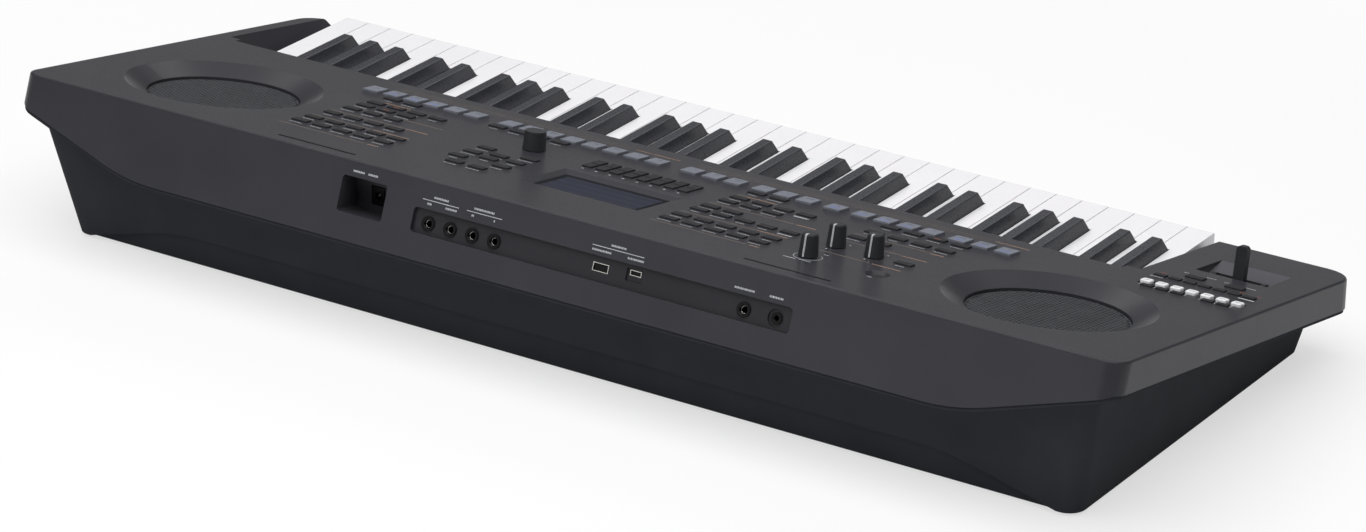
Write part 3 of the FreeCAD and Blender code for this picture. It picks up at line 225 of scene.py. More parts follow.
# Pad-printed inks: thin, slightly raised and dull, a little uneven. The long lines drift more slowly.
inkLook = {"drift": 1.5, "grain": 0.4, "rough": 0.6, "roughSpread": 0.05, "bump": 0.02}
whiteInk = surface("printedInkWhite", {**inkLook, "dark": "#aeb1b5", "light": "#cfd1d5"})
peachInk = surface("printedInkPeach", {**inkLook, "dark": "#a8846c", "light": "#bf9a80"})
lineInk = surface("printedInkDimPeach", {
    **inkLook, "dark": "#77695e", "light": "#85766a", "drift": 40.0, "grain": 6.0})
orangeInk = surface("printedInkOrange", {**inkLook, "dark": "#a5603f", "light": "#bd704b"})
blueInk = surface("printedInkBlue", {**inkLook, "dark": "#5b78cf", "light": "#6f8ce6"})
darkInk = surface("printedInkDark", {**inkLook, "dark": "#2c2e33", "light": "#383a40"})
print("finishes made:", len(bpy.data.materials))


def linkedVerts(start):
    # All vertices of the solid that one vertex belongs to
    found = {start}
    stack = [start]
    while stack:
        here = stack.pop()
        for edge in here.link_edges:
            other = edge.other_vert(here)
            if other not in found:
                found.add(other)
                stack.append(other)
    return found


def solidBoxes(name, place):
    # Lowest and highest corner of each separate solid of a CAD node, in the given place's millimetres
    weldDistance = 1e-6
    work = bmesh.new()
    work.from_mesh(nodes[name].data)
    bmesh.ops.remove_doubles(work, verts=work.verts, dist=weldDistance)
    back = place.inverted()
    boxes = []
    seen = set()
    for start in work.verts:
        if start in seen:
            continue
        solid = linkedVerts(start)
        seen |= solid
        corners = [back @ vert.co for vert in solid]
        low = Vector(min(c[i] for c in corners) for i in range(3))
        high = Vector(max(c[i] for c in corners) for i in range(3))
        boxes.append((low, high))
    work.free()
    return sorted(boxes, key=lambda box: -box[0].x)


def displayGlass():
    # Tinted acrylic with an anti-glare film over a dark liquid crystal panel: near black at the border and
    # bluish where the panel shows through, with faint bands in the panel and a smeared gloss.
    look = {"half": (44.0, 20.0), "border": "#26272a", "panel": "#363842", "band": "#3a3d48",
            "bandPitch": 12.57, "bandWaver": 0.4, "smear": 25.0, "smearDetail": 4.0, "rough": (0.14, 0.26),
            "ior": 1.49, "specular": 0.004}
    wavePeriod = 2 * math.pi / 20  # of the wave texture at a scale of one
    material, tree = newMaterial("tintedAcrylic")
    low, high = solidBoxes("display_window", panelPlace)[0]
    middle = panelPlace @ Vector(((low.x + high.x) / 2, (low.y + high.y) / 2, 0))
    place = addNode(tree, "ShaderNodeTexCoord").outputs["Object"]
    shifted = addNode(tree, "ShaderNodeMapping", {"vector_type": "TEXTURE"}, {
        "Vector": place, "Location": middle, "Rotation": (slope, 0, 0)})
    axes = addNode(tree, "ShaderNodeSeparateXYZ", inputs={0: shifted}).outputs
    inside = []
    for axis, half in enumerate(look["half"]):
        size = addNode(tree, "ShaderNodeMath", {"operation": "ABSOLUTE"}, {0: axes[axis]})
        inside.append(addNode(tree, "ShaderNodeMath", {"operation": "LESS_THAN"}, {0: size, 1: half / 1000}))
    lit = addNode(tree, "ShaderNodeMath", {"operation": "MULTIPLY"}, {0: inside[0], 1: inside[1]})
    bands = addNode(tree, "ShaderNodeTexWave", {"bands_direction": "Y"}, {
        "Vector": shifted, "Scale": perMetre(look["bandPitch"]) * wavePeriod,
        "Distortion": look["bandWaver"]}).outputs["Fac"]
    screen = addNode(tree, "ShaderNodeMix", {"data_type": "RGBA"}, {
        0: bands, 6: linear(look["panel"]), 7: linear(look["band"])}).outputs[2]
    colour = addNode(tree, "ShaderNodeMix", {"data_type": "RGBA"}, {
        0: lit, 6: linear(look["border"]), 7: screen}).outputs[2]
    smear = addNode(tree, "ShaderNodeTexNoise", inputs={
        "Vector": place, "Scale": perMetre(look["smear"]), "Detail": look["smearDetail"]})
    rough = addNode(tree, "ShaderNodeMapRange", inputs={
        "Value": smear, "To Min": look["rough"][0], "To Max": look["rough"][1]})
    shader = addNode(tree, "ShaderNodeBsdfPrincipled", inputs={
        "Base Color": colour, "Roughness": rough, "IOR": look["ior"], "Specular IOR Level": look["specular"]})
    addNode(tree, "ShaderNodeOutputMaterial", inputs={"Surface": shader})
    return material


# The keys aren't listed: those whose names end in sharp are black, the others white.
finishOf = {
    "upper_case": caseAbs, "lower_case": tubAbs, "rubber_feet": footRubber, "case_screws": zincSteel,
    "frame_screws": zincSteel, "key_frame": zincSheet, "key_pivot_rod": nickelPlate,
    "contact_board": maskedBoard, "contact_rubber": contactSilicone, "key_felt": woolFelt,
    "left_speaker": paperCone, "right_speaker": paperCone, "left_grille": coatedSteel,
    "right_grille": coatedSteel, "display_window": displayGlass(), "lcd_module": nickelPlate,
    "panel_board": maskedBoard, "main_board": maskedBoard, "socket_board": maskedBoard,
    "right_pads": padAbs, "style_pads": padAbs, "left_pads": padAbs, "chord_pads": whiteAbs,
    "voice_buttons": buttonAbs, "style_buttons": buttonAbs, "effect_buttons": buttonAbs,
    "cursor_buttons": buttonAbs, "screen_buttons": buttonAbs, "chord_buttons": buttonAbs,
    "knob_1": softCoat, "knob_2": softCoat, "knob_3": softCoat, "data_dial": softCoat,
    "knob_pots": zincSheet, "dial_encoder": zincSheet, "power_button": buttonAbs, "power_switch": socketNylon,
    "lever_well": wellPaintedLighterAbs, "lever_cradle": buttonAbs, "lever_pin": zincSteel, "pitch_lever": softCoat,
    "output_sockets": socketNylon, "microphone_socket": socketNylon, "audio_socket": socketNylon,
    "usb_host_port": nickelPlate, "usb_device_port": nickelPlate, "power_inlet": socketNylon}
for name, part in nodes.items():
    keyFinish = blackStyrene if name.endswith("sharp") else whiteStyrene
    finish = finishOf.get(name, keyFinish)
    if not part.material_slots:
        part.data.materials.append(finish)
    for holder in part.material_slots:
        holder.material = finish
print("nodes dressed:", len(nodes))


def addPiece(name, mesh, place, body):
    # A finished piece sits at the origin with its place in its mesh.
    mesh.transform(place)
    piece = bpy.data.objects.new(name, mesh)
    mesh.name = name
    scene.collection.objects.link(piece)
    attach(piece, body)
    return piece


def newTree(name, sizes, counts=()):
    # A tree with a named input for each size and count, and one for its finish
    tree = bpy.data.node_groups.new(name, "GeometryNodeTree")
    tree.interface.new_socket("Geometry", in_out="INPUT", socket_type="NodeSocketGeometry")
    for label in sizes:
        tree.interface.new_socket(label, in_out="INPUT", socket_type="NodeSocketFloat")
    for label in counts:
        tree.interface.new_socket(label, in_out="INPUT", socket_type="NodeSocketInt")
    tree.interface.new_socket("Finish", in_out="INPUT", socket_type="NodeSocketMaterial")
    tree.interface.new_socket("Geometry", in_out="OUTPUT", socket_type="NodeSocketGeometry")
    return tree, addNode(tree, "NodeGroupInput").outputs


def endTree(tree, given, geometry):
    real = addNode(tree, "GeometryNodeRealizeInstances", inputs={0: geometry})
    done = addNode(tree, "GeometryNodeSetMaterial", inputs={"Geometry": real, "Material": given["Finish"]})
    addNode(tree, "NodeGroupOutput", inputs={0: done})


def closedForm(tree, flat, raised, weldDistance):
    # Closes a raised sheet with its flat start turned over
    under = addNode(tree, "GeometryNodeFlipFaces", inputs={0: flat})
    halves = addNode(tree, "GeometryNodeJoinGeometry", inputs={0: [under, raised]})
    return addNode(tree, "GeometryNodeMergeByDistance", inputs={"Geometry": halves, "Distance": weldDistance})


def growMesh(mesh, tree, values):
    # Runs a tree on a mesh and gives back a plain mesh
    carrier = bpy.data.objects.new("carrier", mesh)
    scene.collection.objects.link(carrier)
    modifier = carrier.modifiers.new("grow", "NODES")
    modifier.node_group = tree
    for item in tree.interface.items_tree:
        if item.in_out == "INPUT" and item.name in values:
            modifier[item.identifier] = values[item.name]
    graph = bpy.context.evaluated_depsgraph_get()
    grown = bpy.data.meshes.new_from_object(carrier.evaluated_get(graph), depsgraph=graph)
    carrier.modifiers.clear()
    bpy.data.objects.remove(carrier)
    bpy.data.meshes.remove(mesh)
    return grown


# Speaker grilles: hexagonal packing of round holes in a closed sheet, with a plain rolled rim. The rows
# are a little more than 2 / sqrt(3) times the columns, so that both reach the rim.
grille = {
    "holePitch": 4.2, "holeRadius": 1.6, "holeSides": 12, "thickness": 1.0, "weld": 0.02, "edgeShare": 0.58,
    "spareColumns": 5, "rowsPerColumn": 1.16, "rimRadius": 0.7, "rimSteps": 96, "rimSides": 8}


def perforationTree():
    sizes = ("Sheet Radius", "Cell Reach", "Hole Pitch", "Hole Radius", "Thickness", "Rim Radius")
    tree, given = newTree("perforatedSheet", sizes, ("Columns", "Rows"))
    pitch = given["Hole Pitch"]
    spot = addNode(tree, "GeometryNodeInputPosition")
    halfPitch = addNode(tree, "ShaderNodeMath", {"operation": "MULTIPLY"}, {0: pitch, 1: 0.5})
    # One cell: a round hole in a hexagon, whose border is farthest at its corners
    hole = addNode(tree, "GeometryNodeMeshCircle", inputs={
        "Vertices": grille["holeSides"], "Radius": given["Hole Radius"]})
    spread = addNode(tree, "GeometryNodeExtrudeMesh", {"mode": "EDGES"}, {"Mesh": hole, "Offset Scale": 0.0})
    axes = addNode(tree, "ShaderNodeSeparateXYZ", inputs={0: spot}).outputs
    angle = addNode(tree, "ShaderNodeMath", {"operation": "ARCTAN2"}, {0: axes[1], 1: axes[0]})
    fromCorner = addNode(tree, "ShaderNodeMath", {"operation": "PINGPONG"}, {0: angle, 1: math.pi / 6})
    fromMiddle = addNode(tree, "ShaderNodeMath", {"operation": "SUBTRACT"}, {0: math.pi / 6, 1: fromCorner})
    lean = addNode(tree, "ShaderNodeMath", {"operation": "COSINE"}, {0: fromMiddle})
    reach = addNode(tree, "ShaderNodeMath", {"operation": "DIVIDE"}, {0: halfPitch, 1: lean})
    aim = addNode(tree, "ShaderNodeVectorMath", {"operation": "NORMALIZE"}, {0: spot})
    border = addNode(tree, "ShaderNodeVectorMath", {"operation": "SCALE"}, {0: aim, "Scale": reach})
    cell = addNode(tree, "GeometryNodeSetPosition", inputs={
        "Geometry": spread, "Selection": spread.outputs["Top"], "Position": border})
    # Rows of cells, every other row shifted by half a pitch, kept inside the rim
    rowPitch = addNode(tree, "ShaderNodeMath", {"operation": "MULTIPLY"}, {0: pitch, 1: math.sqrt(3) / 2})
    rowSteps = addNode(tree, "ShaderNodeMath", {"operation": "SUBTRACT"}, {0: given["Rows"], 1: 1.0})
    columnSteps = addNode(tree, "ShaderNodeMath", {"operation": "SUBTRACT"}, {0: given["Columns"], 1: 1.0})
    grid = addNode(tree, "GeometryNodeMeshGrid", inputs={
        "Size X": addNode(tree, "ShaderNodeMath", {"operation": "MULTIPLY"}, {0: rowPitch, 1: rowSteps}),
        "Size Y": addNode(tree, "ShaderNodeMath", {"operation": "MULTIPLY"}, {0: pitch, 1: columnSteps}),
        "Vertices X": given["Rows"], "Vertices Y": given["Columns"]})
    number = addNode(tree, "GeometryNodeInputIndex")
    row = addNode(tree, "FunctionNodeIntegerMath", {"operation": "DIVIDE_FLOOR"}, {
        0: number, 1: given["Columns"]})
    odd = addNode(tree, "FunctionNodeIntegerMath", {"operation": "MODULO"}, {0: row, 1: 2})
    shift = addNode(tree, "ShaderNodeMath", {"operation": "MULTIPLY"}, {0: odd, 1: halfPitch})
    offset = addNode(tree, "ShaderNodeCombineXYZ", inputs={"Y": shift})
    lattice = addNode(tree, "GeometryNodeSetPosition", inputs={"Geometry": grid, "Offset": offset})
    away = addNode(tree, "ShaderNodeVectorMath", {"operation": "LENGTH"}, {0: spot}).outputs["Value"]
    gone = addNode(tree, "ShaderNodeMath", {"operation": "GREATER_THAN"}, {0: away, 1: given["Cell Reach"]})
    kept = addNode(tree, "GeometryNodeDeleteGeometry", {"domain": "POINT"}, {
        "Geometry": lattice, "Selection": gone})
    cells = addNode(tree, "GeometryNodeInstanceOnPoints", inputs={"Points": kept, "Instance": cell})
    real = addNode(tree, "GeometryNodeRealizeInstances", inputs={0: cells})
    flat = addNode(tree, "GeometryNodeMergeByDistance", inputs={"Geometry": real, "Distance": grille["weld"]})
    # The flat sheet gets its thickness as one piece, so that only the holes and the edge have walls.
    raised = addNode(tree, "GeometryNodeExtrudeMesh", {"mode": "FACES"}, {
        "Mesh": flat, "Individual": False, "Offset": (0.0, 0.0, 1.0), "Offset Scale": given["Thickness"]})
    sheet = closedForm(tree, flat, raised, grille["weld"])
    # Rolled rim
    hoop = addNode(tree, "ShaderNodeMath", {"operation": "SUBTRACT"}, {
        0: given["Sheet Radius"], 1: given["Rim Radius"]})
    rimPath = addNode(tree, "GeometryNodeCurvePrimitiveCircle", inputs={
        "Resolution": grille["rimSteps"], "Radius": hoop})
    rimForm = addNode(tree, "GeometryNodeCurvePrimitiveCircle", inputs={
        "Resolution": grille["rimSides"], "Radius": given["Rim Radius"]})
    rim = addNode(tree, "GeometryNodeCurveToMesh", inputs={"Curve": rimPath, "Profile Curve": rimForm})
    endTree(tree, given, addNode(tree, "GeometryNodeJoinGeometry", inputs={0: [sheet, rim]}))
    return tree


perforations = perforationTree()
for word in ("left", "right"):
    low, high = solidBoxes(word + "_grille", panelPlace)[0]
    middle = (low + high) / 2
    radius = (high.x - low.x) / 2
    columns = 2 * round(radius / grille["holePitch"]) + grille["spareColumns"]
    sheet = growMesh(bpy.data.meshes.new("sheet"), perforations, {
        "Sheet Radius": radius, "Cell Reach": radius - grille["edgeShare"] * grille["holePitch"],
        "Hole Pitch": grille["holePitch"], "Hole Radius": grille["holeRadius"],
        "Thickness": grille["thickness"], "Rim Radius": grille["rimRadius"], "Columns": columns,
        "Rows": round(columns * grille["rowsPerColumn"]) + 1, "Finish": coatedSteel})
    seat = Matrix.Translation((middle.x, middle.y, high.z - grille["thickness"]))
    piece = addPiece(word + "GrilleSheet", sheet, panelPlace @ seat, "case")
    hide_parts(word + "_grille")
    print("grille", word, len(sheet.polygons), "faces")


# Small forms set on spots: printed bars, bright contact rings and white caps. Each is drawn at unit size,
# and each spot carries its own scale and its turn about the upright.
formSteps = {"hoop": 32, "wire": 8, "corner": 6, "weld": 0.001}


def barForm(tree, given):
    size = addNode(tree, "ShaderNodeCombineXYZ", inputs={"X": 1.0, "Y": 1.0, "Z": given["Depth"]})
    return addNode(tree, "GeometryNodeMeshCube", inputs={"Size": size})


def ringForm(tree, given):
    hoop = addNode(tree, "GeometryNodeCurvePrimitiveCircle", inputs={
        "Resolution": formSteps["hoop"], "Radius": 1.0})
    wire = addNode(tree, "GeometryNodeCurvePrimitiveCircle", inputs={
        "Resolution": formSteps["wire"], "Radius": given["Wire"]})
    return addNode(tree, "GeometryNodeCurveToMesh", inputs={"Curve": hoop, "Profile Curve": wire})


def capForm(tree, given):
    # A flat cap with rounded corners and a bevelled top edge, standing on its spot
    upward = (0.0, 0.0, 1.0)
    square = addNode(tree, "GeometryNodeCurvePrimitiveQuadrilateral", inputs={"Width": 1.0, "Height": 1.0})
    outline = addNode(tree, "GeometryNodeFilletCurve", {"mode": "POLY"}, {
        "Curve": square, "Radius": given["Corner"], "Count": formSteps["corner"]})
    flat = addNode(tree, "GeometryNodeFillCurve", {"mode": "NGONS"}, {"Curve": outline})
    wallTall = addNode(tree, "ShaderNodeMath", {"operation": "SUBTRACT"}, {0: 1.0, 1: given["Crown"]})
    wall = addNode(tree, "GeometryNodeExtrudeMesh", {"mode": "FACES"}, {
        "Mesh": flat, "Offset": upward, "Offset Scale": wallTall})
    crown = addNode(tree, "GeometryNodeExtrudeMesh", {"mode": "FACES"}, {
        "Mesh": wall, "Selection": wall.outputs["Top"], "Offset": upward, "Offset Scale": given["Crown"]})
    bevel = addNode(tree, "GeometryNodeScaleElements", inputs={
        "Geometry": crown, "Selection": crown.outputs["Top"], "Scale": given["Top Scale"]})
    return closedForm(tree, flat, bevel, formSteps["weld"])


def formTree(name, sizes, makeForm):
    tree, given = newTree(name, sizes)
    scale = addNode(tree, "GeometryNodeInputNamedAttribute", {"data_type": "FLOAT_VECTOR"}, {
        "Name": "formScale"})
    turn = addNode(tree, "GeometryNodeInputNamedAttribute", {"data_type": "FLOAT"}, {"Name": "formTurn"})
    upright = addNode(tree, "ShaderNodeCombineXYZ", inputs={"Z": turn})
    aim = addNode(tree, "FunctionNodeEulerToRotation", inputs={0: upright})
    endTree(tree, given, addNode(tree, "GeometryNodeInstanceOnPoints", inputs={
        "Points": given["Geometry"], "Instance": makeForm(tree, given), "Rotation": aim, "Scale": scale}))
    return tree


barForms = formTree("smallBars", ("Depth",), barForm)
ringForms = formTree("smallRings", ("Wire",), ringForm)
capForms = formTree("smallCaps", ("Corner", "Crown", "Top Scale"), capForm)
inkDepth = 0.14  # half of it stands above the surface
ringWire = 0.09  # share of the ring's radius


def setForms(name, tree, forms, values, place, body):
    # forms: the spot, scale and turn of each one
    spots, scales, turns = zip(*forms)
    points = bpy.data.meshes.new(name)
    points.from_pydata(spots, [], [])
    points.attributes.new("formScale", "FLOAT_VECTOR", "POINT").data.foreach_set(
        "vector", [size for scale in scales for size in scale])
    points.attributes.new("formTurn", "FLOAT", "POINT").data.foreach_set("value", turns)
    return addPiece(name, growMesh(points, tree, values), place, body)


def printMarks(name, bars, ink, place, body):
    # bars: centre x, y, z, then length, width and turn
    forms = [((x, y, z), (length, width, 1.0), turn) for x, y, z, length, width, turn in bars]
    setForms(name, barForms, forms, {"Depth": inkDepth, "Finish": ink}, place, body)


def addRings(name, rings, place, body):
    # rings: centre, then radius
    forms = [(centre, (radius, radius, radius), 0.0) for centre, radius in rings]
    setForms(name, ringForms, forms, {"Wire": ringWire, "Finish": nickelPlate}, place, body)


legendBars = {"lengths": (0.9, 0.6, 1.1, 0.7, 1.0), "gap": 0.5, "shortest": 0.6}


def oneBar(x0, x1, y, tall, z=0.0):
    return ((x0 + x1) / 2, y, z, abs(x1 - x0), tall, 0.0)


def legend(x0, x1, y, tall, z=0.0):
    # A row of short plain bars from x0 to x1
    lengths = legendBars["lengths"]
    bars = []
    x, end = min(x0, x1), max(x0, x1)
    while x < end - legendBars["shortest"]:
        length = min(lengths[len(bars) % len(lengths)], end - x)
        bars.append(oneBar(x, x + length, y, tall, z))
        x += length + legendBars["gap"]
    return bars


# Panel printing: group lines, headings as plain bars, a legend behind each button, dots by the display.
# Lines and headings run from x to x at a distance from the rear edge.
panelPrint = {
    "lines": [
        (280.0, 196.0, 50.0), (280.0, 221.0, 92.0), (280.0, 208.0, 118.0), (280.0, 186.0, 141.5),
        (280.0, 269.5, 173.5), (-71.0, -157.0, 50.0), (-71.0, -139.0, 92.8), (-71.0, -148.0, 134.2),
        (-71.0, -78.0, 174.5), (-200.0, -244.0, 84.5), (-199.0, -247.0, 125.5), (-191.0, -256.5, 151.5)],
    "headings": [
        (193.8, 183.5, 50.0), (219.0, 184.0, 92.0), (206.5, 184.5, 118.0), (268.5, 243.0, 176.0),
        (-158.5, -168.3, 50.0), (-140.3, -167.0, 92.8), (-149.8, -166.8, 134.2), (-79.0, -107.2, 174.5),
        (-245.5, -270.5, 84.0), (-248.5, -270.0, 124.5), (-258.0, -270.2, 150.0)],
    "lipHeadings": [(58.0, 42.7, 226.2), (41.0, 15.2, 226.4), (-272.0, -301.5, 227.0)],
    "lipLines": [(290.0, 62.0), (-1.0, -268.0)], "lipRows": (224.0, 229.0),
    "solidBars": [(-154.2, -165.9, 99.2), (-134.0, -146.0, 156.0), (-471.0, -484.5, 243.0)],
    "lineTall": 0.8, "lipLineTall": 0.5, "headingTall": 1.35, "lipHeadingTall": 1.3, "solidTall": 1.7,
    "legendBehind": 4.4, "legendTall": 1.05, "legendHalf": 4.2, "legendStep": 0.9, "legendKinds": 4,
    "dotBehind": 5.4, "dotLong": 2.0, "dotTall": 1.4, "rowTolerance": 1.0}
dim, peach, white, orange = [], [], [], []
for x0, x1, down in panelPrint["lines"]:
    dim.append(oneBar(x0, x1, -down, panelPrint["lineTall"]))
for x0, x1 in panelPrint["lipLines"]:
    for down in panelPrint["lipRows"]:
        dim.append(oneBar(x0, x1, -down, panelPrint["lipLineTall"]))
for x0, x1, down in panelPrint["headings"]:
    peach += legend(x0, x1, -down, panelPrint["headingTall"])
for x0, x1, down in panelPrint["lipHeadings"]:
    peach += legend(x0, x1, -down, panelPrint["lipHeadingTall"])
for x0, x1, down in panelPrint["solidBars"]:
    white.append(oneBar(x0, x1, -down, panelPrint["solidTall"]))
for node in ("voice_buttons", "style_buttons", "effect_buttons", "cursor_buttons"):
    for number, (low, high) in enumerate(solidBoxes(node, panelPlace)):
        middle = (low.x + high.x) / 2
        half = panelPrint["legendHalf"] + panelPrint["legendStep"] * (number % panelPrint["legendKinds"])
        behind = high.y + panelPrint["legendBehind"]
        white += legend(middle - half, middle + half, behind, panelPrint["legendTall"])
screenTops = solidBoxes("screen_buttons", panelPlace)
rearRow = max(high.y for low, high in screenTops)
for low, high in screenTops:
    if high.y > rearRow - panelPrint["rowTolerance"]:
        white.append(((low.x + high.x) / 2, rearRow + panelPrint["dotBehind"], 0.0, panelPrint["dotLong"],
                      panelPrint["dotTall"], 0.0))
printMarks("panelLines", dim, lineInk, panelPlace, "case")
printMarks("panelHeadings", peach, peachInk, panelPlace, "case")

# Marks round the white pads at the player's left
chordMarks = {
    "tickAside": 0.7, "tickBehind": 3.3, "tickLong": 6.0, "tickWide": 0.5,
    "dotBefore": 4.0, "dotLong": 1.8, "dotTall": 1.0,
    "white": [(-396.5, -407.0, 244.0), (-409.4, -413.4, 275.2), (-427.5, -436.0, 276.4),
              (-443.6, -447.2, 275.2), (-461.3, -470.0, 274.6)], "whiteTall": 1.3,
    "orange": [(-398.0, -403.0, 258.4), (-464.0, -468.4, 258.6), (-479.0, -483.0, 258.2)], "orangeTall": 1.2}
for low, high in solidBoxes("chord_pads", panelPlace):
    middle = (low.x + high.x) / 2
    white.append((middle + chordMarks["tickAside"], high.y + chordMarks["tickBehind"], 0.0,
                  chordMarks["tickWide"], chordMarks["tickLong"], 0.0))
    white.append((middle, low.y - chordMarks["dotBefore"], 0.0,
                  chordMarks["dotLong"], chordMarks["dotTall"], 0.0))
for x0, x1, down in chordMarks["white"]:
    white += legend(x0, x1, -down, chordMarks["whiteTall"])
for x0, x1, down in chordMarks["orange"]:
    orange += legend(x0, x1, -down, chordMarks["orangeTall"])

# Dots beside the knobs, the scale round the first one and legends near them, each with its height
knobMarks = {
    "dotSize": 1.3, "rearDot": (1.3, 11.6), "frontDot": (-5.2, -12.6), "scaleRadius": 10.9,
    "scaleFrom": -54.0, "scaleSweep": 288.0, "scaleTicks": 60, "tickLong": 0.5, "tickWide": 1.2,
    "legends": [(-192.0, -202.0, 46.2, 1.4), (-205.0, -215.0, 47.4, 1.4), (-210.0, -213.6, 75.4, 1.2),
                (-262.4, -266.0, 50.0, 1.2)]}
knobSpots = []
for name in ("knob_1", "knob_2", "knob_3"):
    low, high = solidBoxes(name, panelPlace)[0]
    knobSpots.append(((low.x + high.x) / 2, (low.y + high.y) / 2))
for x, y in knobSpots[1:]:
    for aside, behind in (knobMarks["rearDot"], knobMarks["frontDot"]):
        white.append((x + aside, y + behind, 0.0, knobMarks["dotSize"], knobMarks["dotSize"], 0.0))
x, y = knobSpots[0]
for step in range(knobMarks["scaleTicks"]):
    share = step / (knobMarks["scaleTicks"] - 1)
    angle = math.radians(knobMarks["scaleFrom"] + knobMarks["scaleSweep"] * share)
    radius = knobMarks["scaleRadius"]
    white.append((x + radius * math.cos(angle), y + radius * math.sin(angle), 0.0,
                  knobMarks["tickLong"], knobMarks["tickWide"], angle))
for x0, x1, down, tall in knobMarks["legends"]:
    white += legend(x0, x1, -down, tall)
printMarks("panelLegends", white, whiteInk, panelPlace, "case")
printMarks("panelAccents", orange, orangeInk, panelPlace, "case")

# Legends on the caps themselves move with them.
capMarks = {
    "blueAt": (279.0, 258.8, 238.6, -142.7, -167.6, -187.8, -208.0, -253.7, -273.9, -294.1), "blueNear": 2.0,
    "blueDown": 4.9, "blueHalf": 4.0, "blueTall": 1.5,
    "darkDown": 11.0, "darkHalf": 1.0, "darkStep": 1.1, "darkKinds": 3, "darkTall": 0.9}
for node in ("right_pads", "style_pads", "left_pads"):
    blue, dark = [], []
    for number, (low, high) in enumerate(solidBoxes(node, panelPlace)):
        middle = (low.x + high.x) / 2
        if any(abs(middle - x) < capMarks["blueNear"] for x in capMarks["blueAt"]):
            half, y = capMarks["blueHalf"], high.y - capMarks["blueDown"]
            blue += legend(middle - half, middle + half, y, capMarks["blueTall"], high.z)
        half = capMarks["darkHalf"] + capMarks["darkStep"] * (number % capMarks["darkKinds"])
        y = high.y - capMarks["darkDown"]
        dark += legend(middle - half, middle + half, y, capMarks["darkTall"], high.z)
    if blue:
        printMarks(node + "Blue", blue, blueInk, panelPlace, node)
    printMarks(node + "Dark", dark, darkInk, panelPlace, node)
accents = {
    "spots": {"voice_buttons": ((250.8, -164.0), (250.8, -149.6)), "effect_buttons": ((-242.8, -188.6),)},
    "near": 4.0, "half": 3.0, "up": 0.6, "tall": 1.0}
for node, spots in accents["spots"].items():
    bars = []
    for low, high in solidBoxes(node, panelPlace):
        middle = (low + high) / 2
        if any(math.hypot(middle.x - x, middle.y - y) < accents["near"] for x, y in spots):
            bars += legend(middle.x - accents["half"], middle.x + accents["half"], middle.y + accents["up"],
                           accents["tall"], high.z)
    printMarks(node + "Accents", bars, orangeInk, panelPlace, node)

# White caps: flat rounded tops in the places of the CAD pads, with a plain dash on each. The corner, the
# crown and the top are shares of the cap's size.
chordCap = {
    "wide": 8.6, "long": 8.2, "tall": 4.0, "lower": 0.6, "setBack": 0.1,
    "corner": 0.18, "crown": 0.14, "top": 0.9,
    "dashLong": 4.4, "dashWide": 0.55, "dashTurn": 12.0, "dashBehind": 0.2}
capSize = (chordCap["wide"], chordCap["long"], chordCap["tall"])
caps, dashes = [], []
for low, high in solidBoxes("chord_pads", panelPlace):
    x = (low.x + high.x) / 2
    y = low.y + chordCap["long"] / 2 + chordCap["setBack"]
    top = high.z - chordCap["lower"]
    caps.append(((x, y, top - chordCap["tall"]), capSize, 0.0))
    dashes.append((x, y + chordCap["dashBehind"], top, chordCap["dashLong"], chordCap["dashWide"],
                   math.radians(chordCap["dashTurn"])))
capValues = {"Corner": chordCap["corner"], "Crown": chordCap["crown"], "Top Scale": chordCap["top"],
             "Finish": whiteAbs}
piece = setForms("chordPadCaps", capForms, caps, capValues, panelPlace, "chord_pads")
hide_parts("chord_pads")
printMarks("chordPadMarks", dashes, darkInk, panelPlace, "chord_pads")

# Rear printing: brackets and plain bars over the sockets, from x to x at a distance from the rear edge
rearPrint = {
    "brackets": [(100.3, 66.6, 15.1), (59.0, 26.5, 15.0), (-56.3, -102.6, 15.0)],
    "bars": [
        (90.0, 76.9, 12.2), (95.2, 91.2, 17.9), (78.3, 68.1, 17.9), (52.7, 33.4, 12.2), (54.0, 51.8, 17.8),
        (33.4, 31.4, 17.8), (167.8, 157.0, 8.1), (153.5, 144.6, 8.1), (-72.7, -86.7, 12.2),
        (-56.8, -73.7, 18.2), (-88.7, -102.9, 18.2), (-183.0, -200.4, 18.0), (-213.5, -225.5, 18.0)],
    "tall": 1.5, "line": 0.5}
rearWhite = [oneBar(-x0, -x1, -down, rearPrint["line"]) for x0, x1, down in rearPrint["brackets"]]
for x0, x1, down in rearPrint["bars"]:
    rearWhite += legend(-x0, -x1, -down, rearPrint["tall"])
printMarks("rearLegends", rearWhite, whiteInk, rearPlace, "case")

# Inside the sockets: black blocks a little behind the mouths of the two ports, standing for their black
# tongues and, as painted shade, for the hollows round them; a bright contact in each large socket and the
# bright end of the power pin
rearInside = {
    "tongueShadeWall": 0.55, "tongueShadeDepth": {"usb_host_port": 1.4, "usb_device_port": 1.2},
    "contactDepth": 2.6, "contactRadius": 2.9, "pinEnd": (156.3, 172.6, 104.1), "pinRadii": (0.9, 0.5)}
tonguesAndShade, contacts = [], []
for node, depth in rearInside["tongueShadeDepth"].items():
    low, high = solidBoxes(node, rearPlace)[0]
    middle, size = (low + high) / 2, high - low
    tonguesAndShade.append((middle.x, middle.y, high.z - depth, size.x - 2 * rearInside["tongueShadeWall"],
                  size.y - 2 * rearInside["tongueShadeWall"], 0.0))
# The port blocks: black tongues, and painted shade over the hollows behind the mouths.
printMarks("portTonguesAndShade", tonguesAndShade, socketNylon, rearPlace, "case")
for low, high in solidBoxes("output_sockets", rearPlace) + solidBoxes("microphone_socket", rearPlace):
    middle = (low + high) / 2
    contacts.append(((middle.x, middle.y, high.z - rearInside["contactDepth"]), rearInside["contactRadius"]))
addRings("socketContacts", contacts, rearPlace, "case")
pinPlace = toMetres @ Matrix.Translation(rearInside["pinEnd"]) @ Matrix.Rotation(math.pi / 2, 4, "X")
addRings("powerPin", [((0.0, 0.0, 0.0), radius) for radius in rearInside["pinRadii"]], pinPlace, "case")
print("printing done")


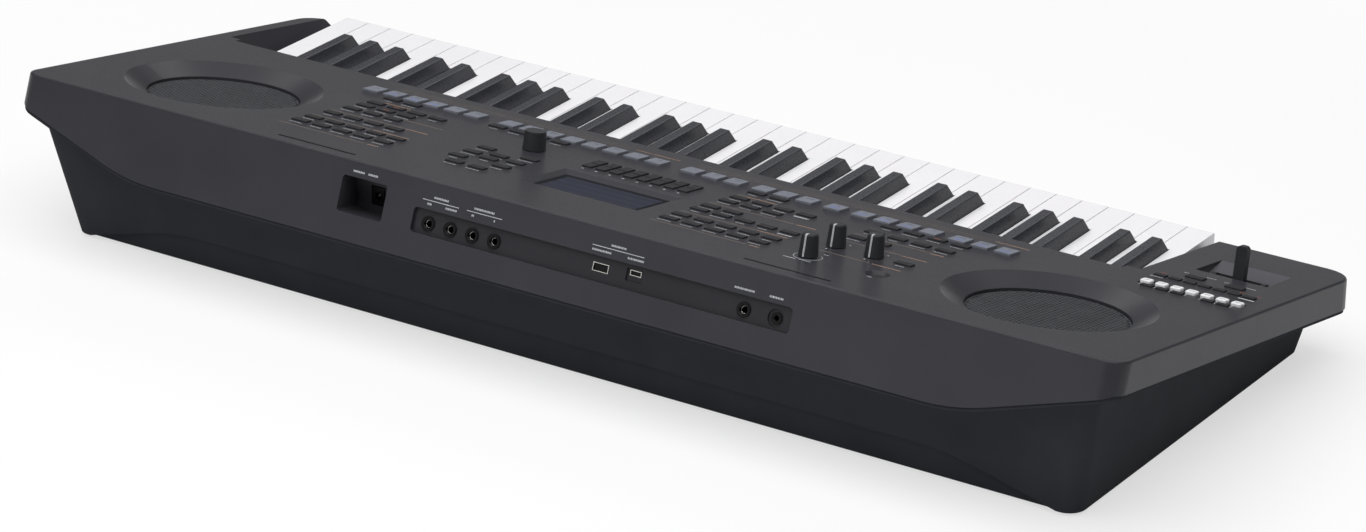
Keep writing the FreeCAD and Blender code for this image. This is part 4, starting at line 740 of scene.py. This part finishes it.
def sweptBar(profile, width, ink):
    # A flat bar that follows a profile of (out, up) points; inner points lie under the surface
    mesh = bpy.data.meshes.new("bar")
    work = bmesh.new()
    half = width / 2
    rows = []
    for (out, up), (inOut, inUp) in profile:
        ring = ((-half, out, up), (half, out, up), (half, inOut, inUp), (-half, inOut, inUp))
        rows.append([work.verts.new(corner) for corner in ring])
    for a, b in zip(rows, rows[1:]):
        for k in range(4):
            work.faces.new((a[k], a[(k + 1) % 4], b[(k + 1) % 4], b[k]))
    work.faces.new(rows[0])
    work.faces.new(rows[-1][::-1])
    bmesh.ops.recalc_face_normals(work, faces=work.faces)
    work.to_mesh(mesh)
    work.free()
    mesh.materials.append(ink)
    return mesh


# Pointer lines on the knobs, from the skirt over the edge to the middle of the top
pointer = {"width": 1.5, "profile": [((7.66, 1.0), (7.0, 1.0)), ((6.52, 16.9), (5.9, 16.4)),
                                     ((5.46, 18.18), (5.2, 17.5)), ((2.6, 18.18), (2.6, 17.5))]}
for number, (x, y) in enumerate(knobSpots, 1):
    line = sweptBar(pointer["profile"], pointer["width"], whiteInk)
    seat = panelPlace @ Matrix.Translation((x, y, 0))
    addPiece("knobPointer" + str(number), line, seat, "knob_" + str(number))
print("pointers done")


def aimed(place, aim, roll=0.0):
    # Stands at a place, looks at another and is rolled by some degrees
    turn = (Vector(aim) - Vector(place)).to_track_quat("-Z", "Y").to_matrix().to_4x4()
    return Matrix.Translation(place) @ turn @ Matrix.Rotation(math.radians(roll), 4, "Z")


# Camera where the photograph was taken from, fitted to the key edges and case edges
view = {"place": (-1.94116, 2.96347, 1.55460), "aim": (-0.01158, 0.0, 0.02432), "roll": 0.5537,
        "lens": 128.706, "sensor": 36.0, "clipEnd": 100.0}
camera = bpy.data.cameras.new("photoCamera")
camera.lens = view["lens"]
camera.sensor_width = view["sensor"]
camera.clip_end = view["clipEnd"]
cameraObject = bpy.data.objects.new("photoCamera", camera)
cameraObject.matrix_world = aimed(view["place"], view["aim"], view["roll"])
scene.collection.objects.link(cameraObject)
scene.camera = cameraObject

# Studio: a wide soft box overhead, a weak one behind the camera, a strip light beyond the keys that draws
# the edges, an even dim surround and a pale floor
studio = {
    "boxes": {
        "overhead": {"place": (-0.1, 0.6, 2.5), "aim": (0.0, 0.0, 0.0), "size": (4.0, 3.0), "watts": 92.0},
        "fill": {"place": (1.6, 4.2, 0.9), "aim": (0.0, 0.0, 0.05), "size": (2.4, 1.2), "watts": 13.0},
        "back": {"place": (1.45, -2.5, 2.4), "aim": (0.0, 0.0, 0.1), "size": (3.4, 0.9), "watts": 26.0}},
    "surround": 0.1, "floorHalf": 12.0, "floorDrop": 0.0005, "floorPaint": "#f7f7f7", "floorLift": 0.62,
    "fadeFrom": 0.55, "fadeTo": 1.3}
for name, look in studio["boxes"].items():
    lamp = bpy.data.lights.new(name + "Box", "AREA")
    lamp.shape = "RECTANGLE"
    lamp.size, lamp.size_y = look["size"]
    lamp.energy = look["watts"]
    lampObject = bpy.data.objects.new(name + "Box", lamp)
    lampObject.matrix_world = aimed(look["place"], look["aim"])
    scene.collection.objects.link(lampObject)

plainWhite = (1.0, 1.0, 1.0, 1.0)
world = bpy.data.worlds.new("dimSurround")
world.use_nodes = True
world.node_tree.nodes.clear()
glow = addNode(world.node_tree, "ShaderNodeBackground", inputs={
    "Color": plainWhite, "Strength": studio["surround"]})
addNode(world.node_tree, "ShaderNodeOutputWorld", inputs={"Surface": glow})
scene.world = world


def floorPaint():
    # Matt paint, almost white; away from the object and its shadow it fades to plain white. Only the camera
    # and what glossy and clear things show see that white, and it gives the object no light.
    material, tree = newMaterial("mattFloorPaint")
    place = addNode(tree, "ShaderNodeTexCoord").outputs["Object"]
    away = addNode(tree, "ShaderNodeVectorMath", {"operation": "LENGTH"}, {0: place}).outputs["Value"]
    fade = addNode(tree, "ShaderNodeMapRange", {"interpolation_type": "SMOOTHSTEP"}, {
        "Value": away, "From Min": studio["fadeFrom"], "From Max": studio["fadeTo"],
        "To Min": studio["floorLift"]})
    rays = addNode(tree, "ShaderNodeLightPath").outputs
    seen = addNode(tree, "ShaderNodeMath", {"operation": "MAXIMUM"}, {
        0: rays["Is Camera Ray"], 1: rays["Is Transmission Ray"]})
    seen = addNode(tree, "ShaderNodeMath", {"operation": "MAXIMUM"}, {0: seen, 1: rays["Is Glossy Ray"]})
    share = addNode(tree, "ShaderNodeMath", {"operation": "MULTIPLY"}, {0: fade, 1: seen})
    matt = addNode(tree, "ShaderNodeBsdfDiffuse", inputs={"Color": linear(studio["floorPaint"])})
    pale = addNode(tree, "ShaderNodeEmission", inputs={"Color": plainWhite, "Strength": 1.0})
    mixed = addNode(tree, "ShaderNodeMixShader", inputs={0: share, 1: matt, 2: pale})
    addNode(tree, "ShaderNodeOutputMaterial", inputs={"Surface": mixed})
    return material


half, level = studio["floorHalf"], -studio["floorDrop"]
corners = [(-half, -half, level), (half, -half, level), (half, half, level), (-half, half, level)]
floorMesh = bpy.data.meshes.new("studioFloor")
floorMesh.from_pydata(corners, [], [(0, 1, 2, 3)])
floorMesh.materials.append(floorPaint())
floor = bpy.data.objects.new("studioFloor", floorMesh)
scene.collection.objects.link(floor)
print("studio set")
